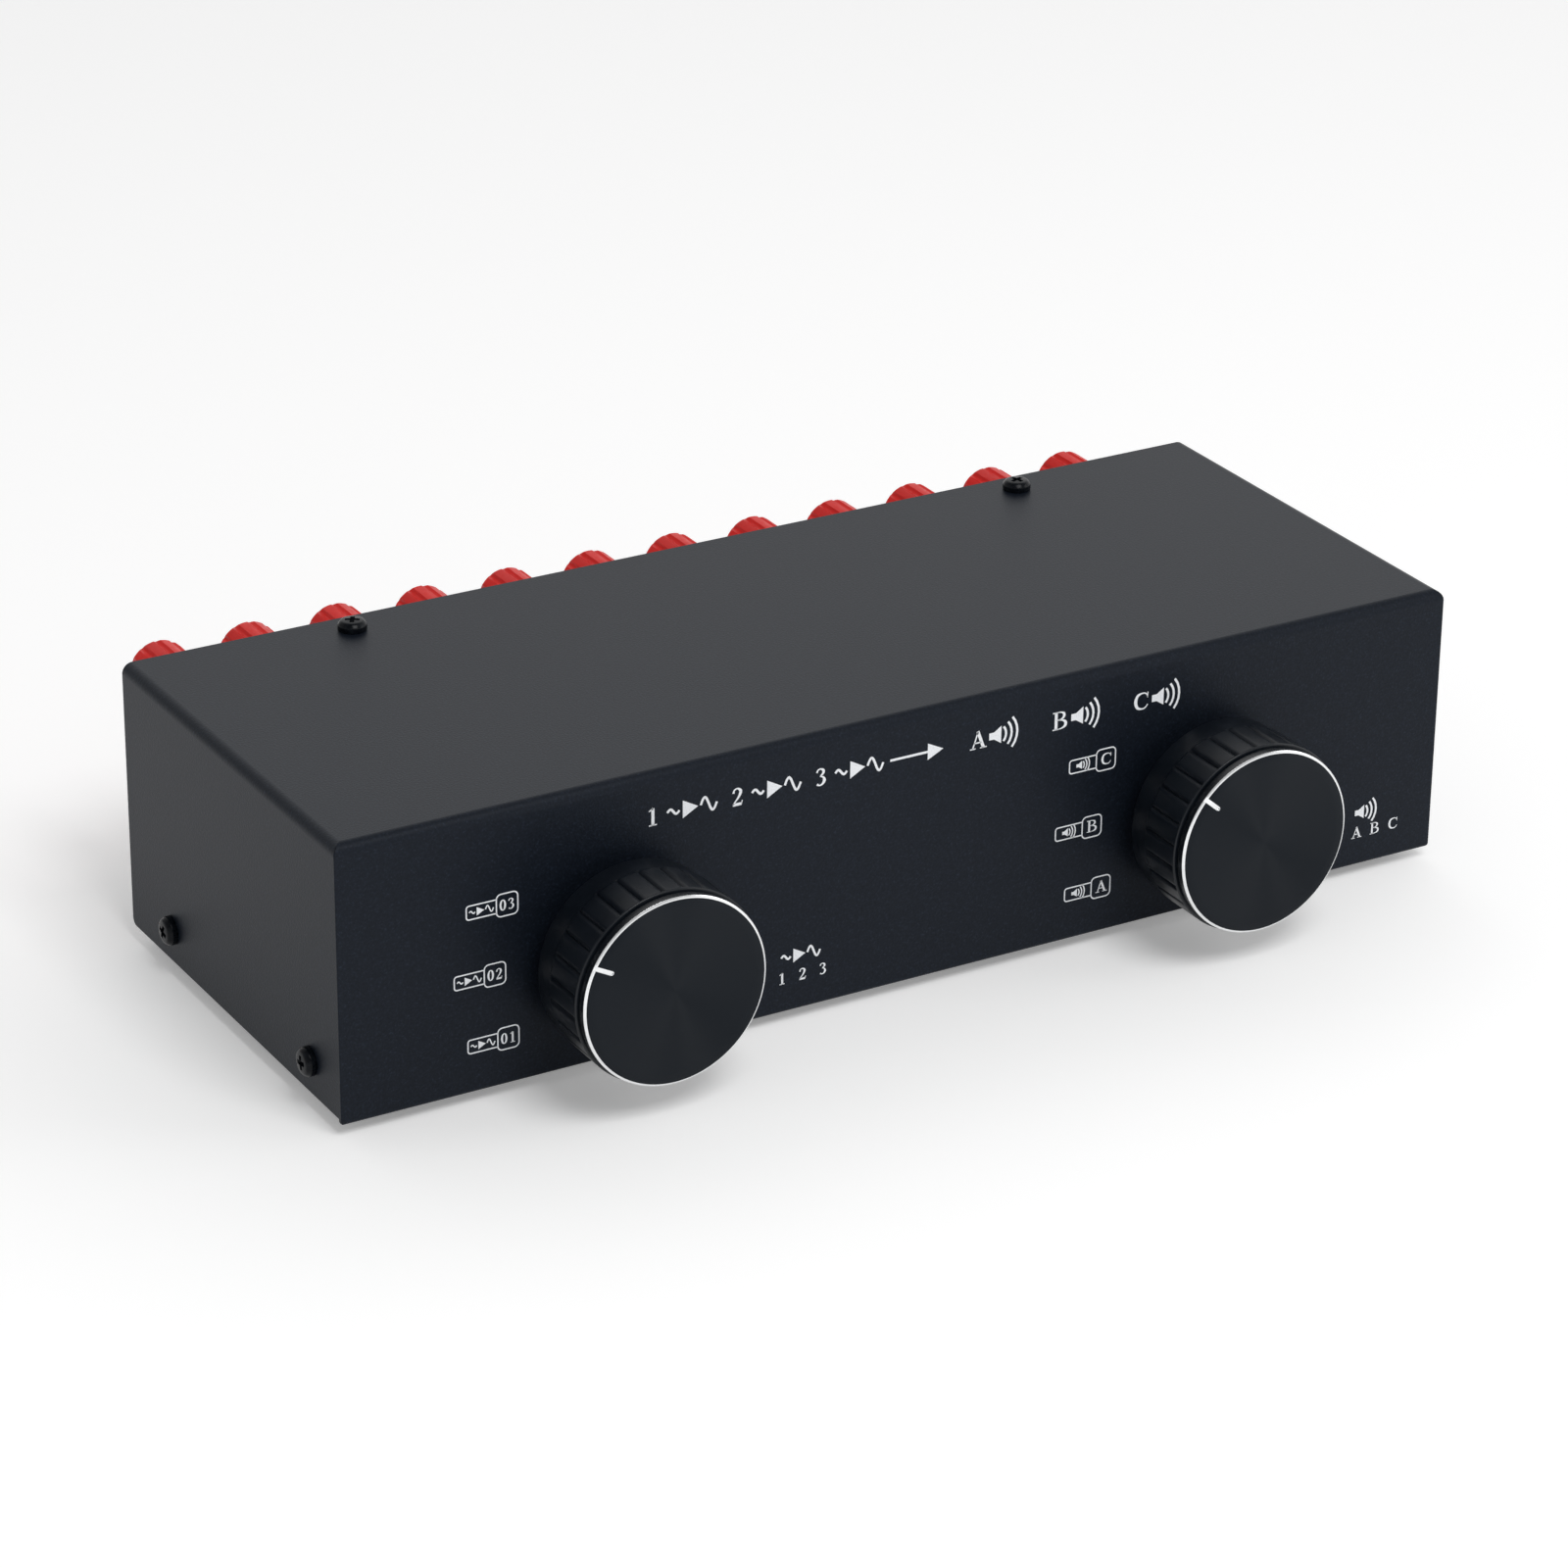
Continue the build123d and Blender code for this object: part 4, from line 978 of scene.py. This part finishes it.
def gloss_black():
    """Glossy black anodising on the rim behind the bevel."""
    finish, tree, shader, place = new_finish(
        "gloss_black", (0.006, 0.008, 0.011), 0.26, specular=0.5)
    rings = grain(tree, stretched(tree, place, (0.05, 0.05, 1)), 0.00012, 1.0)
    tint(tree, shader, rings, ((0.3, (0.004, 0.0055, 0.0078)), (0.7, (0.0075, 0.0095, 0.0128))))
    emboss(tree, shader, rings, 0.000006, 0.5)
    return finish


knob_outline = softened([
    (shaft_bore, hub_start), (hub_radius, hub_start, 0.4), (hub_radius, cavity_end, 0.3),
    (cavity_radius, cavity_end, 0.6), (cavity_radius, knob_standoff, 0.3),
    (skirt_radius, knob_standoff, 0.3), (skirt_radius, skirt_end)])
knob_outline += [(skirt_radius + 0.15, skirt_end + 0.04), (knob_radius - 0.1, skirt_end + 0.3)]
knob_outline += [(knob_radius, skirt_end + part) for part in (0.5, 1.0, flute_run_out)]
knob_outline += [(knob_radius, flute_end - 0.25), (knob_radius, flute_end - 0.01)]
knob_outline += softened([
    (knob_radius, flute_end), (knob_radius, body_front, 0.35), (seat_radius, body_front),
    (seat_radius, body_front - seat_depth), (shaft_bore, body_front - seat_depth)], steps=6)
knob_mesh = turned("knob_body", knob_outline, flute_columns, fluted, loop=True)
knob_mesh.materials.append(knob_moulding())

knob_reach = 23.2
face_radius = 19.45
face_bevel = 0.48
bevel_depth = 0.35
face_columns = 240
face_back = 19.9
spigot_radius = 18.4
face_neck_radius = 18.85
neck_start = 20.75
rim_start = 21.2
flat_radii = (face_radius - face_bevel, 17.0, 12.0, 6.0, 0)
face_outline = softened([
    (0, face_back), (spigot_radius, face_back), (spigot_radius, neck_start),
    (face_neck_radius, neck_start), (face_neck_radius, rim_start),
    (face_radius, rim_start, 0.15), (face_radius, knob_reach - bevel_depth)])
face_outline += [(radius, knob_reach) for radius in flat_radii]
face_finishes = [gloss_black(), bright_cut(), spun_black()]
bevel_finish, flat_finish = 1, 2

pointer_length = 4.1
pointer_half = 0.45
pointer_depth = 0.25
pointer_steps = 8
slot_clearance = 1.0
slot_start = face_radius + slot_clearance
pointer_end = face_radius - face_bevel - pointer_length + pointer_half
slot_outline = []
for step in range(pointer_steps + 1):
    angle = radians(90 + 180 * step / pointer_steps)
    slot_outline.append((pointer_end + pointer_half * cos(angle), pointer_half * sin(angle)))
slot_outline += [(slot_start, -pointer_half), (slot_start, pointer_half)]
slot_mesh = block(
    "pointer_slot", [(x, y, knob_reach - pointer_depth) for x, y in slot_outline],
    [(x, y, knob_reach + slot_clearance) for x, y in slot_outline])
slot_mesh.materials.append(face_finishes[bevel_finish])

for selector, pointer_angle, knob_x in (("amp", 152.3, -66.5), ("speaker", 139.2, 66.5)):
    spot = (knob_x, front_y, middle_of(f"{selector}_shaft").z)
    body = placed(f"{selector}_knob_body", knob_mesh, spot, facing_front)
    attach(body, f"{selector}_selector")
    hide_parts(f"{selector}_knob")

    face_mesh = turned(f"{selector}_face", face_outline, face_columns)
    for finish in face_finishes:
        face_mesh.materials.append(finish)
    for side in face_mesh.polygons:
        across = hypot(side.center.x, side.center.y) / mm
        level = side.center.z / mm
        if level > knob_reach - 0.01:
            side.material_index = flat_finish
        elif level > knob_reach - bevel_depth and across > face_radius - face_bevel:
            side.material_index = bevel_finish
    face = placed(f"{selector}_face", face_mesh, (0, 0, 0), (0, 0, 0))
    cut_out(face, placed("pointer_cutter", slot_mesh, (0, 0, 0), (0, 0, pointer_angle)))
    face.location = Vector(spot) * mm
    face.rotation_euler = [radians(part) for part in facing_front]
    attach(face, f"{selector}_selector")
    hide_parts(f"{selector}_knob_face")

# ------------------------------------------------------------------ studio
# A pale table in a white room that is darker on the left and overhead, most of
# all above the front, with a soft lamp there and a small one on the right.
floor_half = 12.0
floor_mesh = bpy.data.meshes.new("floor")
floor_sides = ((-1, -1), (1, -1), (1, 1), (-1, 1))
floor_mesh.from_pydata(
    [(x * floor_half, y * floor_half, 0) for x, y in floor_sides], [], [(0, 1, 2, 3)])
floor_finish, tree, shader, place = new_finish("pale_floor", (0.93, 0.93, 0.93), 0.9, specular=0.1)
floor_glow = 0.24
path = tree.nodes.new("ShaderNodeLightPath")
seen = path.outputs["Is Camera Ray"]
for ray in ("Is Glossy Ray", "Is Transmission Ray"):
    either = tree.nodes.new("ShaderNodeMath")
    either.operation = "MAXIMUM"
    tree.links.new(seen, either.inputs[0])
    tree.links.new(path.outputs[ray], either.inputs[1])
    seen = either.outputs["Value"]
shader.inputs["Emission Color"].default_value = (1, 1, 1, 1)
tree.links.new(shift(tree, seen, 0, 1, 0, floor_glow), shader.inputs["Emission Strength"])
floor = placed("floor", floor_mesh, (0, 0, 0), (0, 0, 0), floor_finish)

sky = bpy.data.worlds.new("studio")
sky.use_nodes = True
room = sky.node_tree
room.nodes["Background"].inputs["Color"].default_value = (1, 1, 1, 1)
toward = room.nodes.new("ShaderNodeSeparateXYZ")
room.links.new(room.nodes.new("ShaderNodeTexCoord").outputs["Generated"], toward.inputs["Vector"])
slope = room.nodes.new("ShaderNodeMath")
slope.operation = "MULTIPLY_ADD"
front_share = 0.35
room.links.new(toward.outputs["Y"], slope.inputs[0])
slope.inputs[1].default_value = -front_share
room.links.new(toward.outputs["Z"], slope.inputs[2])
overhead = shift(room, slope.outputs["Value"], 0.45, 0.78, 1.15, 0.35)
from_left = shift(room, toward.outputs["X"], -0.45, 0.15, 0.45, 1.0)
level = room.nodes.new("ShaderNodeMath")
level.operation = "MULTIPLY"
room.links.new(overhead, level.inputs[0])
room.links.new(from_left, level.inputs[1])
room.links.new(level.outputs["Value"], room.nodes["Background"].inputs["Strength"])
bpy.context.scene.world = sky


def soft_lamp(name, spot, aim, size, power):
    """Square lamp at a spot, aimed at a point, both in metres."""
    light = bpy.data.lights.new(name, "AREA")
    light.size = size
    light.energy = power
    lamp = bpy.data.objects.new(name, light)
    bpy.context.scene.collection.objects.link(lamp)
    lamp.location = spot
    lamp.rotation_euler = (Vector(aim) - Vector(spot)).to_track_quat("-Z", "Y").to_euler()


soft_lamp("high_lamp", (0.0, -1.0, 1.5), (0, 0, 0), 0.8, 13)
soft_lamp("side_lamp", (1.5, -0.9, 0.9), (0, 0, 0), 0.7, 3)

picture_width = 1600
focal_pixels = 5590.3
image_centre = (861.2, 803.1)
camera_data = bpy.data.cameras.new("camera")
camera_data.sensor_width = 36
camera_data.lens = focal_pixels / picture_width * camera_data.sensor_width
camera_data.shift_x = (picture_width / 2 - image_centre[0]) / picture_width
camera_data.shift_y = (image_centre[1] - picture_width / 2) / picture_width
camera_data.clip_start = 0.05
camera_data.clip_end = 50
camera = bpy.data.objects.new("camera", camera_data)
bpy.context.scene.collection.objects.link(camera)
camera.location = (-0.50795, -0.86603, 0.49352)
camera.rotation_euler = (radians(64.986), radians(-0.793), radians(-30.592))
bpy.context.scene.camera = camera
bpy.context.scene.view_settings.view_transform = "Standard"
